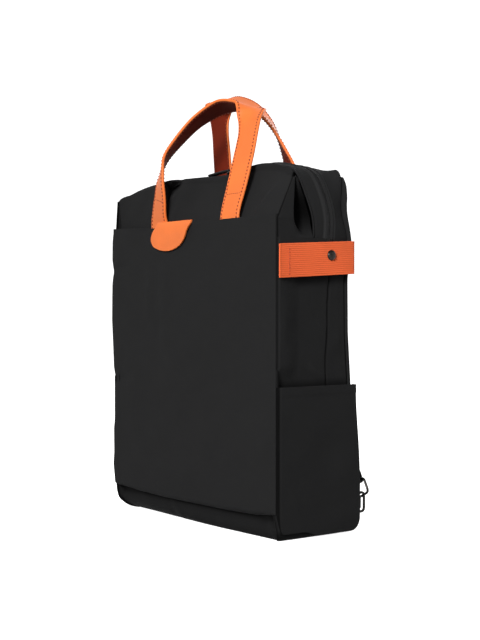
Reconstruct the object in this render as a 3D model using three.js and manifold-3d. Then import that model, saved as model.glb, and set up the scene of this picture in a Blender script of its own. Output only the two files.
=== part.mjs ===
// A laptop backpack of tote form: a zipped cloth shell with a full-width front pocket, side pockets,
// webbing side straps, two leather handles, and shoulder straps that lie close to the back.
// Millimetres, +Z up. X runs from the left side to the right one. A depth is measured from the front
// pocket's outer face towards the back, and the origin is under the middle of the base.
import * as THREE from 'three';
import { mergeVertices } from 'three/addons/utils/BufferGeometryUtils.js';
import Module from 'manifold-3d';

// Driving sizes of the shell
const BODY_DEPTH = 115;
const CLOTH = 2;
const SEAM_GAP = 0.6;
const SIDE_HALF = 167.5;
const SIDE_FRONT = 3;
const DISHED_HALF = 160.5;
const DISH = { footLow: 8, footHigh: 36, low: 288, high: 330 };
const FRONT_DEPTH = 9;
const FRONT_FOOT = { depth: 4.5, low: 22, high: 30 };
const FLOOR_GAP = 0.5;
const FRONT_ROUND = 7;
const SIDE_ROUND = 7;
const BACK_ROUND = 14;
const BACK_PAD = 6;
const FOOT_CLEAR = 0.4;
const BASE_PLATE = 2.5;
const BASE_CORNER = 8;
const PLAIN_HEIGHTS = [60, 165, 230];
const WELD = 1e-4;
const ROW_PITCH = 30;

// Upper front: it leans back above the pocket, turns over a ridge and ends at the zip's seam
const LEAN_LOW = 335;
const LEAN_START = 358;
const SHOULDER_SHARE = 0.62;
const CROWN = 8;
const SEAM_DEPTH = 39.4;
const LEFT_RIDGE_HALF = 164;
const RIGHT_RIDGE_HALF = 148;
const SEAM_HALF = 150;
const RIDGE_LIFT = 1;
const TOP_LEVEL = 400;

// Top ridge of the front panel, from left to right: popped out as far as the left handle, then a
// sharp fold, and leaning back from there on
const RIDGE = [
  { x: -164, depth: 5, height: 406 },
  { x: -138, depth: 9, height: 411 },
  { x: -115, depth: 12, height: 415 },
  { x: -92, depth: 13, height: 418 },
  { x: -61, depth: 7.5, height: 420 },
  { x: -49, depth: 26, height: 421 },
  { x: -28, depth: 33, height: 420 },
  { x: 12, depth: 34, height: 418 },
  { x: 47, depth: 35, height: 420 },
  { x: 77, depth: 36, height: 426 },
  { x: 104, depth: 37, height: 426 },
  { x: 130, depth: 37.5, height: 421.5 },
  { x: 148, depth: 38, height: 414 },
];

// Zipped top, from the left side over the top to the right side: the depths of the front strip's
// edge, of the tape's two edges and of the back strip's edge, and how far that last edge drops
const ZIP = [
  { x: -165.5, height: 338, front: 53, tapeFront: 66, tapeBack: 83, back: 104.4, drop: 0 },
  { x: -164.5, height: 360, front: 52, tapeFront: 68, tapeBack: 85, back: 100.4, drop: 0 },
  { x: -160.5, height: 384, front: 46, tapeFront: 65, tapeBack: 82, back: 98.4, drop: -3 },
  { x: -152, height: 408, front: 41, tapeFront: 58, tapeBack: 75, back: 98.4, drop: -14 },
  { x: -138, height: 416, front: 40, tapeFront: 52, tapeBack: 69, back: 101, drop: 1 },
  { x: -106, height: 419, front: 40, tapeFront: 50, tapeBack: 67, back: 103, drop: 6 },
  { x: -58, height: 420, front: 40, tapeFront: 49, tapeBack: 66, back: 103, drop: 6 },
  { x: -18, height: 419, front: 40, tapeFront: 49, tapeBack: 66, back: 103, drop: 5 },
  { x: 22, height: 418, front: 40, tapeFront: 49, tapeBack: 66, back: 103, drop: 4 },
  { x: 47, height: 420, front: 40, tapeFront: 49, tapeBack: 66, back: 103, drop: 6 },
  { x: 75, height: 425, front: 40, tapeFront: 49, tapeBack: 66, back: 103, drop: 9 },
  { x: 102, height: 425, front: 40, tapeFront: 50, tapeBack: 67, back: 103, drop: 9 },
  { x: 127, height: 420, front: 40, tapeFront: 52, tapeBack: 69, back: 102, drop: 6 },
  { x: 140, height: 417, front: 40, tapeFront: 54, tapeBack: 71, back: 101, drop: 1 },
  { x: 152, height: 408, front: 41, tapeFront: 59, tapeBack: 76, back: 98.4, drop: -14 },
  { x: 160.5, height: 384, front: 46, tapeFront: 65, tapeBack: 82, back: 98.4, drop: -3 },
  { x: 164.5, height: 360, front: 52, tapeFront: 68, tapeBack: 85, back: 100.4, drop: 0 },
  { x: 165.5, height: 338, front: 53, tapeFront: 66, tapeBack: 83, back: 104.4, drop: 0 },
];
const STRIP_RISE = 2;
const TAPE_RISE = 1;
const COIL_RISE = 1.5;
const COIL_SHARE = 0.22;
const COIL_FLANK = 1.6;
const TAPE_THICK = 1.6;
const SLIDER = { x: 14, length: 15, width: 10, height: 5 };
const PULL = { length: 40, width: 9, thick: 2.4, tilt: 5 };

// Right gusset: folded inward below the end of the zip
const SIDE_SHARES = [0, 0.12, 0.3, 0.5, 0.68, 0.82, 0.92, 1];
const FOLD_DEPTH = 15;
const FOLD_START = 0.22;
const FOLD_VALLEY = SIDE_SHARES[5];
const FOLD_TUCK = 3;
const FOLD_HOLLOW = 1.4;
const FOLD_SWELL = 0.8;
const GUSSET_LOW = 336;
const GUSSET_STEP = 1.2;
const GUSSET_BLEND = 4;

// Outer face of the padded back, by height
const BACK = [
  { height: 14, depth: 120 },
  { height: 60, depth: 120 },
  { height: 165, depth: 116.5 },
  { height: 230, depth: 112 },
  { height: 336, depth: 111 },
  { height: 355, depth: 108 },
  { height: 380, depth: 105.6 },
  { height: 409, depth: 105.2 },
];

// Half width of the back above the side panels
const BACK_ROWS = [336, 355, 372, 386, 398, 409];
const BACK_SHOULDER = [
  { height: 336, half: 167.5 },
  { height: 384, half: 167.5 },
  { height: 400, half: 165 },
  { height: 409, half: 160 },
];

// Front pocket: its lip sags beside the left handle
const POCKET = { half: 170, low: 31, edgeRound: 8, edgeDepth: 0.6, footRound: 9, footDepth: 8 };
const POCKET_FOOT = { half: 150, blend: 6 };
const LIP = [
  { x: -170, height: 362 },
  { x: -125, height: 360.5 },
  { x: -82, height: 358 },
  { x: -35, height: 359 },
  { x: 10, height: 360.5 },
  { x: 70, height: 361.5 },
  { x: 170, height: 362 },
];

// Leather tab: a profile folded over the lip, from its hidden end to its rounded tip
const TAB_THICK = 2;
const TAB = [
  { depth: 4.3, height: 348, half: 21, centre: -29 },
  { depth: 4.4, height: 358.5, half: 23, centre: -29 },
  { depth: 2.8, height: 363.6, half: 34, centre: -30 },
  { depth: -1.4, height: 364.2, half: 36, centre: -28.5 },
  { depth: -3.3, height: 360, half: 36, centre: -29.5 },
  { depth: -4, height: 352, half: 36.2, centre: -36.5 },
  { depth: -4, height: 345, half: 36, centre: -40 },
  { depth: -3.8, height: 339.5, half: 33.3, centre: -41.5 },
  { depth: -3.5, height: 334, half: 26.8, centre: -42.8 },
  { depth: -3.3, height: 330.4, half: 15.6, centre: -43 },
  { depth: -3.2, height: 328.7, half: 6, centre: -42.5 },
];

// Side pockets and side straps
const SIDE_POCKET = { low: 6, high: 170.5, front: 3.2, backInset: 1.4, outer: 170.3, foot: 12, rim: 2.8 };
const SIDE_POCKET_RISE = 60;
const SIDE_POCKET_EDGE = 40;
const STRAP = { low: 291, width: 38, thick: 1.8, climb: 3.5 };
const STRAP_ROUTE = [
  { x: 170.1, depth: 3.2 },
  { x: 170.5, depth: 28 },
  { x: 170.9, depth: 58 },
  { x: 170.9, depth: 88 },
  { x: 170.7, depth: 106 },
  { x: 169.7, depth: 112.4 },
  { x: 165, depth: 114.8 },
  { x: 147, depth: 114.8 },
];
const STUD = { depth: 76, height: 318, radius: 6, dome: 3.2, rim: 1 };

// Handles: the middle line of the strap, the angle of its width in plan and how far that width leans
const HANDLE = { width: 36, thick: 3.5 };
const HANDLE_FRONT = [
  { x: -72, depth: 6.8, height: 338, turn: 180, lean: 0 },
  { x: -72, depth: 6.8, height: 362, turn: 180, lean: 0 },
  { x: -70, depth: 4.8, height: 376, turn: 170, lean: 0 },
  { x: -64.5, depth: 2.4, height: 394, turn: 165, lean: 0 },
  { x: -62.5, depth: 1.6, height: 418, turn: 155, lean: 1 },
  { x: -63.5, depth: 8.5, height: 442, turn: 140, lean: 4 },
  { x: -51, depth: 20, height: 465, turn: 131.5, lean: 6 },
  { x: -29.5, depth: 35, height: 489.5, turn: 123.5, lean: 9 },
  { x: 1.4, depth: 50, height: 505, turn: 110, lean: 15 },
  { x: 30, depth: 56.5, height: 503.5, turn: 90, lean: 15 },
  { x: 47.5, depth: 56.5, height: 496.5, turn: 65, lean: 18 },
  { x: 58.5, depth: 51.5, height: 488, turn: 29, lean: 20 },
  { x: 65, depth: 43.5, height: 477, turn: 1, lean: 20 },
  { x: 68.4, depth: 37, height: 464, turn: 0, lean: 16 },
  { x: 71, depth: 28.5, height: 437.5, turn: 2, lean: 10 },
  { x: 72.5, depth: 17, height: 401, turn: 1, lean: 4 },
  { x: 72.8, depth: 7.2, height: 369.5, turn: -2, lean: 0 },
  { x: 73, depth: 6.8, height: 352, turn: 0, lean: 0 },
  { x: 73, depth: 6.8, height: 338, turn: 0, lean: 0 },
];
const HANDLE_BACK = [
  { x: 74, depth: 113, height: 342, turn: 0, lean: 0 },
  { x: 73.5, depth: 110.2, height: 358, turn: 0, lean: 0 },
  { x: 71.8, depth: 108.3, height: 380, turn: 0, lean: 0 },
  { x: 69.8, depth: 108.4, height: 402, turn: -2, lean: 0 },
  { x: 63.5, depth: 109.2, height: 418, turn: -13, lean: 1 },
  { x: 57.8, depth: 106, height: 436, turn: -27, lean: 3 },
  { x: 46, depth: 100.6, height: 463, turn: -43.5, lean: 7 },
  { x: 31, depth: 96, height: 483, turn: -58, lean: 7 },
  { x: 15, depth: 93.3, height: 499.6, turn: -73, lean: 1 },
  { x: -7, depth: 91.7, height: 514, turn: -86, lean: -9 },
  { x: -35, depth: 91, height: 522, turn: -95, lean: -16 },
  { x: -57, depth: 92.5, height: 523, turn: -108, lean: -17 },
  { x: -67, depth: 95.7, height: 518, turn: -138, lean: -12 },
  { x: -72.5, depth: 100.4, height: 506, turn: -172, lean: -3 },
  { x: -75.3, depth: 104.3, height: 486, turn: -183, lean: 6 },
  { x: -75.8, depth: 107.3, height: 457, turn: -181, lean: 8 },
  { x: -75, depth: 109, height: 427, turn: -180, lean: 6 },
  { x: -74.2, depth: 108.4, height: 400, turn: -180, lean: 2 },
  { x: -73.6, depth: 108.4, height: 379, turn: -180, lean: 0 },
  { x: -73.5, depth: 110.2, height: 358, turn: -180, lean: 0 },
  { x: -74, depth: 113, height: 342, turn: -180, lean: 0 },
];

// Shoulder straps: sewn at the top of the back, looped over a hook at the bottom corner
const SHOULDER = [
  { x: 29, depth: 108.4, height: 392, width: 44, thick: 4 },
  { x: 29, depth: 110.6, height: 372, width: 44, thick: 6 },
  { x: 31, depth: 119, height: 338, width: 44, thick: 8 },
  { x: 47, depth: 126, height: 276, width: 44, thick: 8 },
  { x: 73, depth: 129, height: 210, width: 44, thick: 8 },
  { x: 101, depth: 129, height: 150, width: 44, thick: 8 },
  { x: 127, depth: 128, height: 105, width: 34, thick: 6 },
  { x: 142, depth: 126.4, height: 82, width: 16, thick: 2.4 },
  { x: 150.5, depth: 125.6, height: 68, width: 15, thick: 2 },
];
const HOOK = { x: 161.5, depth: 128.7, height: 48, across: 25, along: 18, wire: 1.5, tilt: 28 };
const RING = { x: 165, depth: 123.6, height: 33, length: 22, reach: 9, wire: 1.6 };
const LOOP_CORNER = 4;
const STRAP_TAIL = 16;
const RING_TAB = { width: 13, thick: 1.2, seat: 148, step: 6, gap: 0.3 };

const ORANGE_LEATHER = { color: 0xb4531f, roughness: 0.55, metalness: 0 };
const ORANGE_WEBBING = { color: 0xc8512f, roughness: 0.85, metalness: 0 };
const BLACK_CLOTH = { color: 0x1c1c1e, roughness: 0.9, metalness: 0 };
const BLACK_TAPE = { color: 0x141416, roughness: 0.7, metalness: 0 };
const DARK_METAL = { color: 0x4a4844, roughness: 0.35, metalness: 0.9 };

const wasm = await Module();
wasm.setup();

const group = new THREE.Group();

function addPart(name, geometry, look) {
  const mesh = new THREE.Mesh(geometry, new THREE.MeshStandardMaterial(look));
  mesh.name = name;
  group.add(mesh);
  return mesh;
}

function at(x, depth, height) {
  return new THREE.Vector3(x, depth - BODY_DEPTH / 2, height);
}

// Straight-line reading of one column of a table
function lookUp(table, key, value, column) {
  const last = table.length - 1;
  if (value <= table[0][key]) return table[0][column];
  if (value >= table[last][key]) return table[last][column];
  const i = table.findIndex((row) => row[key] > value);
  const share = (value - table[i - 1][key]) / (table[i][key] - table[i - 1][key]);
  return THREE.MathUtils.lerp(table[i - 1][column], table[i][column], share);
}

// Smooth reading of all columns of a table, with steps more rows between each two
function refine(table, steps) {
  const keys = Object.keys(table[0]);
  const count = (table.length - 1) * steps;
  const curves = keys.map((key) => new THREE.CatmullRomCurve3(
    table.map((row, i) => new THREE.Vector3(i * ROW_PITCH, row[key], 0)), false, 'centripetal'));
  return Array.from({ length: count + 1 }, (_, i) => Object.fromEntries(
    keys.map((key, k) => [key, curves[k].getPoint(i / count).y])));
}

function spread(from, to, count) {
  return Array.from({ length: count + 1 }, (_, i) => THREE.MathUtils.lerp(from, to, i / count));
}

// Shares from 0 to 1 that crowd together at both ends
function crowdedEnds(count) {
  return Array.from({ length: count + 1 }, (_, i) => (1 - Math.cos(Math.PI * i / count)) / 2);
}

// Inner face of a wall: columns run left to right and rows upward, seen from outside
function innerFace(outer, thickness) {
  const rows = outer.length;
  const columns = outer[0].length;
  return outer.map((row, r) => row.map((point, c) => {
    const across = row[Math.min(c + 1, columns - 1)].clone().sub(row[Math.max(c - 1, 0)]);
    const up = outer[Math.min(r + 1, rows - 1)][c].clone().sub(outer[Math.max(r - 1, 0)][c]);
    const normal = across.cross(up).normalize();
    return point.clone().addScaledVector(normal, -thickness);
  }));
}

// Closed solid between two grids of points
function wallBetween(outer, inner) {
  const rows = outer.length;
  const columns = outer[0].length;
  const index = (side, r, c) => (side * rows + r) * columns + c;
  const triangles = [];
  const quad = (a, b, c, d) => triangles.push(a, b, c, a, c, d);
  for (let r = 0; r + 1 < rows; r += 1) {
    for (let c = 0; c + 1 < columns; c += 1) {
      quad(index(0, r, c), index(0, r, c + 1), index(0, r + 1, c + 1), index(0, r + 1, c));
      quad(index(1, r, c), index(1, r + 1, c), index(1, r + 1, c + 1), index(1, r, c + 1));
    }
  }
  const top = rows - 1;
  const right = columns - 1;
  for (let c = 0; c < right; c += 1) {
    quad(index(0, 0, c), index(1, 0, c), index(1, 0, c + 1), index(0, 0, c + 1));
    quad(index(0, top, c), index(0, top, c + 1), index(1, top, c + 1), index(1, top, c));
  }
  for (let r = 0; r < top; r += 1) {
    quad(index(0, r, 0), index(0, r + 1, 0), index(1, r + 1, 0), index(1, r, 0));
    quad(index(0, r, right), index(1, r, right), index(1, r + 1, right), index(0, r + 1, right));
  }
  const geometry = new THREE.BufferGeometry();
  geometry.setFromPoints([...outer.flat(), ...inner.flat()]);
  geometry.setIndex(triangles);
  geometry.computeVertexNormals();
  return geometry;
}

function wall(outer, thickness = CLOTH) {
  return wallBetween(outer, innerFace(outer, thickness));
}

// Turns each triangle over, so that the solid isn't inside out
function flipped(geometry) {
  const index = geometry.index.array;
  for (let i = 0; i < index.length; i += 3) {
    [index[i + 1], index[i + 2]] = [index[i + 2], index[i + 1]];
  }
  geometry.computeVertexNormals();
  return geometry;
}

// The same piece on the other side of the body
function mirrored(geometry) {
  const copy = geometry.clone();
  copy.scale(-1, 1, 1);
  return flipped(copy);
}

function toSolid(geometry) {
  const plain = geometry.clone();
  plain.deleteAttribute('normal');
  plain.deleteAttribute('uv');
  const merged = mergeVertices(plain, WELD);
  return new wasm.Manifold(new wasm.Mesh({
    numProp: 3,
    vertProperties: new Float32Array(merged.attributes.position.array),
    triVerts: new Uint32Array(merged.index.array),
  }));
}

// Shell: outer faces by height
function sideHalf(height) {
  const dishIn = THREE.MathUtils.smoothstep(height, DISH.footLow, DISH.footHigh);
  const dishOut = THREE.MathUtils.smoothstep(height, DISH.low, DISH.high);
  const half = THREE.MathUtils.lerp(SIDE_HALF, DISHED_HALF, dishIn * (1 - dishOut));
  const below = Math.max(FLOOR_GAP + SIDE_ROUND - height, 0);
  return half - SIDE_ROUND + Math.sqrt(Math.max(SIDE_ROUND ** 2 - below ** 2, 0));
}

function frontDepth(height) {
  const below = Math.max(FLOOR_GAP + FRONT_ROUND - height, 0);
  const recess = THREE.MathUtils.smoothstep(height, FRONT_FOOT.low, FRONT_FOOT.high);
  const face = THREE.MathUtils.lerp(FRONT_FOOT.depth, FRONT_DEPTH, recess);
  return face + FRONT_ROUND - Math.sqrt(Math.max(FRONT_ROUND ** 2 - below ** 2, 0));
}

function backInner(height) {
  const inner = BACK_ROUND - BACK_PAD;
  const below = Math.max(FLOOR_GAP + BACK_ROUND - height, 0);
  const middle = lookUp(BACK, 'height', height, 'depth') - BACK_ROUND;
  return middle + Math.sqrt(Math.max(inner ** 2 - below ** 2, 0));
}

function seamHeight(x) {
  const top = ZIP.filter((row) => row.height > TOP_LEVEL);
  return lookUp(top, 'x', x, 'height');
}

// Heights of a rounded bottom edge, from the floor to the end of its arc
function roundHeights(radius, steps) {
  const turns = spread(0, 90, steps).map((angle) => THREE.MathUtils.degToRad(angle));
  return turns.map((turn) => FLOOR_GAP + radius * (1 - Math.cos(turn)));
}

// Upper front panel at one column of the ridge, with rise from 0 at the pocket to 1 at the zip's seam
function upperFront(ridge, rise) {
  const low = { depth: FRONT_DEPTH, height: LEAN_START };
  const shoulder = { depth: ridge.depth, height: ridge.height - CROWN };
  const halfLow = SIDE_HALF - CLOTH - 3 * SEAM_GAP;
  const ridgeHalf = ridge.x < 0 ? LEFT_RIDGE_HALF : RIGHT_RIDGE_HALF;
  const share = ridge.x / ridgeHalf;
  if (rise <= SHOULDER_SHARE) {
    const t = rise / SHOULDER_SHARE;
    const half = THREE.MathUtils.lerp(halfLow, ridgeHalf, t);
    return {
      x: share * half,
      depth: THREE.MathUtils.lerp(low.depth, shoulder.depth, t),
      height: THREE.MathUtils.lerp(low.height, shoulder.height, t),
    };
  }
  const t = (rise - SHOULDER_SHARE) / (1 - SHOULDER_SHARE);
  const bend = (a, b, c) => (1 - t) ** 2 * a + 2 * t * (1 - t) * b + t ** 2 * c;
  const half = THREE.MathUtils.lerp(ridgeHalf, SEAM_HALF, t);
  return {
    x: share * half,
    depth: bend(shoulder.depth, ridge.depth, SEAM_DEPTH),
    height: bend(shoulder.height, ridge.height + RIDGE_LIFT, seamHeight(ridge.x)),
  };
}

const ridgeColumns = refine(RIDGE, 2);

function frontPanel() {
  const foot = [FRONT_FOOT.low, (FRONT_FOOT.low + FRONT_FOOT.high) / 2, FRONT_FOOT.high];
  const dish = [DISH.footHigh, DISH.low, (DISH.low + DISH.high) / 2, DISH.high];
  const lowHeights = [...roundHeights(FRONT_ROUND, 3), ...foot, ...dish, LEAN_LOW];
  const rises = [...spread(0, SHOULDER_SHARE, 5), ...spread(SHOULDER_SHARE, 1, 4).slice(1)];
  const lowRows = lowHeights.map((height) => ridgeColumns.map((ridge) => {
    const share = ridge.x < 0 ? ridge.x / LEFT_RIDGE_HALF : ridge.x / RIGHT_RIDGE_HALF;
    const footGap = Math.max(SIDE_ROUND + FLOOR_GAP - height, 0) * FOOT_CLEAR;
    return at(share * (sideHalf(height) - CLOTH - 2 * SEAM_GAP - footGap), frontDepth(height), height);
  }));
  const highRows = rises.map((rise) => ridgeColumns.map((ridge) => {
    const point = upperFront(ridge, rise);
    return at(point.x, point.depth, point.height);
  }));
  return wall([...lowRows, ...highRows]);
}

function backPanel() {
  const arc = spread(0, 90, 4).map((angle) => {
    const turn = THREE.MathUtils.degToRad(angle);
    return {
      height: FLOOR_GAP + BACK_ROUND * (1 - Math.cos(turn)),
      inset: BACK_ROUND * (1 - Math.sin(turn)),
    };
  });
  const foot = [FRONT_FOOT.low, FRONT_FOOT.high, DISH.footHigh];
  const dish = [DISH.low, (DISH.low + DISH.high) / 2, DISH.high];
  const heights = [...foot, ...PLAIN_HEIGHTS, ...dish, ...BACK_ROWS];
  const rows = [...arc, ...heights.map((height) => ({ height, inset: 0 }))];
  return wall(rows.map(({ height, inset }) => {
    const upper = lookUp(BACK_SHOULDER, 'height', height, 'half');
    const half = height < GUSSET_LOW ? sideHalf(height) : upper;
    const depth = lookUp(BACK, 'height', height, 'depth') - inset;
    return spread(1, -1, 8).map((share) => at(share * half, depth, height));
  }), BACK_PAD);
}

// Right side panel with its gusset; the left one is made with the left ridge, no fold, and mirrored
function sidePanel(ridge, fold, zipRows) {
  const foot = spread(DISH.footLow, DISH.footHigh, 4);
  const heights = [
    ...roundHeights(SIDE_ROUND, 3), ...foot, ...PLAIN_HEIGHTS, ...spread(DISH.low, DISH.high, 4), GUSSET_LOW,
  ];
  const shares = SIDE_SHARES;
  const lowRows = heights.map((height) => {
    const front = SIDE_FRONT + frontDepth(Math.min(height, FRONT_FOOT.low)) - FRONT_FOOT.depth;
    const low = lookUp(BACK, 'height', 0, 'depth') - BACK_ROUND;
    const back = Math.max(backInner(height), low) - 2 * SEAM_GAP;
    return shares.map((share) => at(sideHalf(height), THREE.MathUtils.lerp(front, back, share), height));
  });
  const tops = spread(0, 1, 7);
  const highRows = tops.map((t) => {
    const height = THREE.MathUtils.lerp(GUSSET_LOW + GUSSET_STEP, ridge.height - CROWN, t);
    const leanShare = Math.max(height - LEAN_START, 0) / (ridge.height - CROWN - LEAN_START);
    const seam = upperFront({ ...ridge, x: Math.abs(ridge.x) }, leanShare * SHOULDER_SHARE);
    const seamDepth = THREE.MathUtils.lerp(SIDE_FRONT, ridge.depth - CLOTH + SEAM_GAP, leanShare);
    const seamX = ridge.x < 0 ? SIDE_HALF : seam.x + CLOTH + 3 * SEAM_GAP;
    const zipX = lookUp(zipRows, 'height', height, 'x');
    const zipFront = lookUp(zipRows, 'height', height, 'front') - 2 * SEAM_GAP;
    const swell = Math.sin(Math.PI * t) ** FOLD_SWELL;
    const depthIn = fold * swell;
    const tuck = fold > 0 ? FOLD_TUCK * swell : 0;
    const endX = THREE.MathUtils.lerp(SIDE_HALF, zipX, Math.min(t * GUSSET_BLEND, 1)) - tuck;
    return shares.map((share) => {
      const lead = Math.max(share - FOLD_START, 0) / (FOLD_VALLEY - FOLD_START);
      const inward = share < FOLD_VALLEY ? lead ** FOLD_HOLLOW : (1 - share) / (1 - FOLD_VALLEY);
      const x = THREE.MathUtils.lerp(seamX, endX, share) - depthIn * inward;
      return at(x, THREE.MathUtils.lerp(seamDepth, zipFront, share), height);
    });
  });
  return wall([...lowRows, ...highRows]);
}

function basePanel() {
  const half = sideHalf(FLOOR_GAP) - SEAM_GAP;
  const front = FRONT_FOOT.depth + FRONT_ROUND + SEAM_GAP - BODY_DEPTH / 2;
  const back = lookUp(BACK, 'height', 0, 'depth') - BACK_ROUND - SEAM_GAP - BODY_DEPTH / 2;
  const r = BASE_CORNER;
  const outline = new THREE.Shape();
  outline.moveTo(-half + r, front);
  outline.lineTo(half - r, front);
  outline.absarc(half - r, front + r, r, -Math.PI / 2, 0);
  outline.lineTo(half, back - r);
  outline.absarc(half - r, back - r, r, 0, Math.PI / 2);
  outline.lineTo(-half + r, back);
  outline.absarc(-half + r, back - r, r, Math.PI / 2, Math.PI);
  outline.lineTo(-half, front + r);
  outline.absarc(-half + r, front + r, r, Math.PI, Math.PI * 1.5);
  return new THREE.ExtrudeGeometry(outline, { depth: BASE_PLATE, bevelEnabled: false, curveSegments: 4 });
}

// Zipped top: each band runs between two depths, raised along the outward direction of its path
const zipColumns = refine(ZIP, 2);

function zipBand(lines, thickness) {
  const outer = lines.map(({ depth, rise }) => zipColumns.map((column, i) => {
    const before = zipColumns[Math.max(i - 1, 0)];
    const after = zipColumns[Math.min(i + 1, zipColumns.length - 1)];
    const along = new THREE.Vector2(after.x - before.x, after.height - before.height).normalize();
    const lift = rise(column);
    return at(column.x - along.y * lift, depth(column), column.height + along.x * lift);
  }));
  return wall(outer, thickness);
}

function zipStripFront() {
  return zipBand(spread(0, 1, 2).map((share) => ({
    depth: (c) => THREE.MathUtils.lerp(c.front, c.tapeFront - SEAM_GAP, share),
    rise: () => STRIP_RISE * share,
  })), CLOTH);
}

function zipTape() {
  const middle = 0.5;
  const half = COIL_SHARE / 2;
  const lines = [
    { share: 0, rise: TAPE_RISE },
    { share: middle - half * COIL_FLANK, rise: TAPE_RISE },
    { share: middle - half, rise: TAPE_RISE + COIL_RISE },
    { share: middle + half, rise: TAPE_RISE + COIL_RISE },
    { share: middle + half * COIL_FLANK, rise: TAPE_RISE },
    { share: 1, rise: TAPE_RISE },
  ];
  return zipBand(lines.map(({ share, rise }) => ({
    depth: (c) => THREE.MathUtils.lerp(c.tapeFront, c.tapeBack, share),
    rise: () => rise,
  })), TAPE_THICK);
}

function zipStripBack() {
  return zipBand(spread(0, 1, 3).map((share) => ({
    depth: (c) => THREE.MathUtils.lerp(c.tapeBack + SEAM_GAP, c.back, share),
    rise: (c) => THREE.MathUtils.lerp(STRIP_RISE, -c.drop, share ** 2),
  })), CLOTH);
}

function zipSeat(x) {
  const row = zipColumns.reduce((best, c) => (Math.abs(c.x - x) < Math.abs(best.x - x) ? c : best));
  return { depth: (row.tapeFront + row.tapeBack) / 2, height: seamHeight(x) + TAPE_RISE + COIL_RISE };
}

function zipSlider() {
  const seat = zipSeat(SLIDER.x);
  const body = new THREE.BoxGeometry(SLIDER.length, SLIDER.width, SLIDER.height);
  const place = at(SLIDER.x, seat.depth, seat.height + SLIDER.height / 2 + SEAM_GAP);
  body.translate(place.x, place.y, place.z);
  return body;
}

// The pull lies along the zip towards the left, its outer end lowest
function zipPull() {
  const seat = zipSeat(SLIDER.x);
  const pull = new THREE.BoxGeometry(PULL.length, PULL.width, PULL.thick);
  pull.translate(-PULL.length / 2, 0, PULL.thick / 2);
  pull.rotateY(THREE.MathUtils.degToRad(-PULL.tilt));
  const hingeX = SLIDER.x - SLIDER.length / 2 - SEAM_GAP;
  const hinge = at(hingeX, seat.depth, seat.height + SLIDER.height + SEAM_GAP);
  pull.translate(hinge.x, hinge.y, hinge.z);
  return pull;
}

function frontPocket() {
  const columns = crowdedEnds(18).map((share) => (2 * share - 1) * POCKET.half);
  const foot = spread(0, 90, 4).map((angle) => THREE.MathUtils.degToRad(angle));
  const back = (x) => {
    const t = Math.max((Math.abs(x) - POCKET.half + POCKET.edgeRound) / POCKET.edgeRound, 0);
    return POCKET.edgeDepth * (1 - Math.sqrt(1 - t ** 2));
  };
  const footRows = foot.map((turn) => columns.map((x) => {
    const { half, blend } = POCKET_FOOT;
    const past = THREE.MathUtils.smoothstep(Math.abs(x), half, half + blend);
    const tuckIn = (POCKET.footDepth - back(x)) * (1 - past) * (1 - Math.sin(turn));
    return at(x, back(x) + tuckIn, POCKET.low + POCKET.footRound * (1 - Math.cos(turn)));
  }));
  const rise = spread(0, 1, 8).slice(1);
  const wallRows = rise.map((share) => columns.map((x) => {
    const lip = lookUp(LIP, 'x', x, 'height');
    return at(x, back(x), THREE.MathUtils.lerp(POCKET.low + POCKET.footRound, lip, share));
  }));
  return wall([...footRows, ...wallRows]);
}

function pocketTab() {
  const rows = refine(TAB, 2).reverse();
  return wall(rows.map((row) => spread(-1, 1, 4).map(
    (share) => at(row.centre + share * row.half, row.depth, row.height))), TAB_THICK);
}

// Patch pocket: a tray of cloth over the dished part of the side, open at the top
function sidePocket() {
  const feet = spread(0, 90, 4).map((angle) => THREE.MathUtils.degToRad(angle));
  const foot = feet.map((turn) => ({
    height: SIDE_POCKET.low + SIDE_POCKET.foot * (1 - Math.cos(turn)),
    swell: Math.sin(turn),
  }));
  const heights = spread(SIDE_POCKET_RISE, SIDE_POCKET.high, 4).map((height) => ({ height, swell: 1 }));
  return wall([...foot, ...heights].map(({ height, swell }) => crowdedEnds(10).map((share) => {
    const rim = sideHalf(height) + SIDE_POCKET.rim;
    const edge = Math.abs(2 * share - 1) ** SIDE_POCKET_EDGE;
    const x = THREE.MathUtils.lerp(rim, SIDE_POCKET.outer, swell * Math.sqrt(1 - edge));
    const back = lookUp(BACK, 'height', height, 'depth') - SIDE_POCKET.backInset;
    const round = SIDE_POCKET.front + (1 - swell) * SIDE_POCKET.foot / 2;
    return at(x, THREE.MathUtils.lerp(round, back, share), height);
  })));
}

function sideStrap() {
  const route = refine(STRAP_ROUTE, 2);
  const heights = spread(STRAP.low, STRAP.low + STRAP.width, 2);
  const rise = (depth) => STRAP.climb * depth / BODY_DEPTH;
  return wall(heights.map((height) => route.map(
    ({ x, depth }) => at(x, depth, height + rise(depth)))), STRAP.thick);
}

function snapStud() {
  const dome = new THREE.EllipseCurve(0, STUD.rim, STUD.radius, STUD.dome - STUD.rim, 0, Math.PI / 2);
  const profile = [new THREE.Vector2(0, 0), new THREE.Vector2(STUD.radius, 0), ...dome.getPoints(4)];
  profile[profile.length - 1].x = 0;
  const stud = new THREE.LatheGeometry(profile, 16);
  stud.rotateZ(-Math.PI / 2);
  const place = at(lookUp(STRAP_ROUTE, 'depth', STUD.depth, 'x') + SEAM_GAP / 2, STUD.depth, STUD.height);
  stud.translate(place.x, place.y, place.z);
  return mergeVertices(stud.deleteAttribute('normal').deleteAttribute('uv'), WELD);
}

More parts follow.
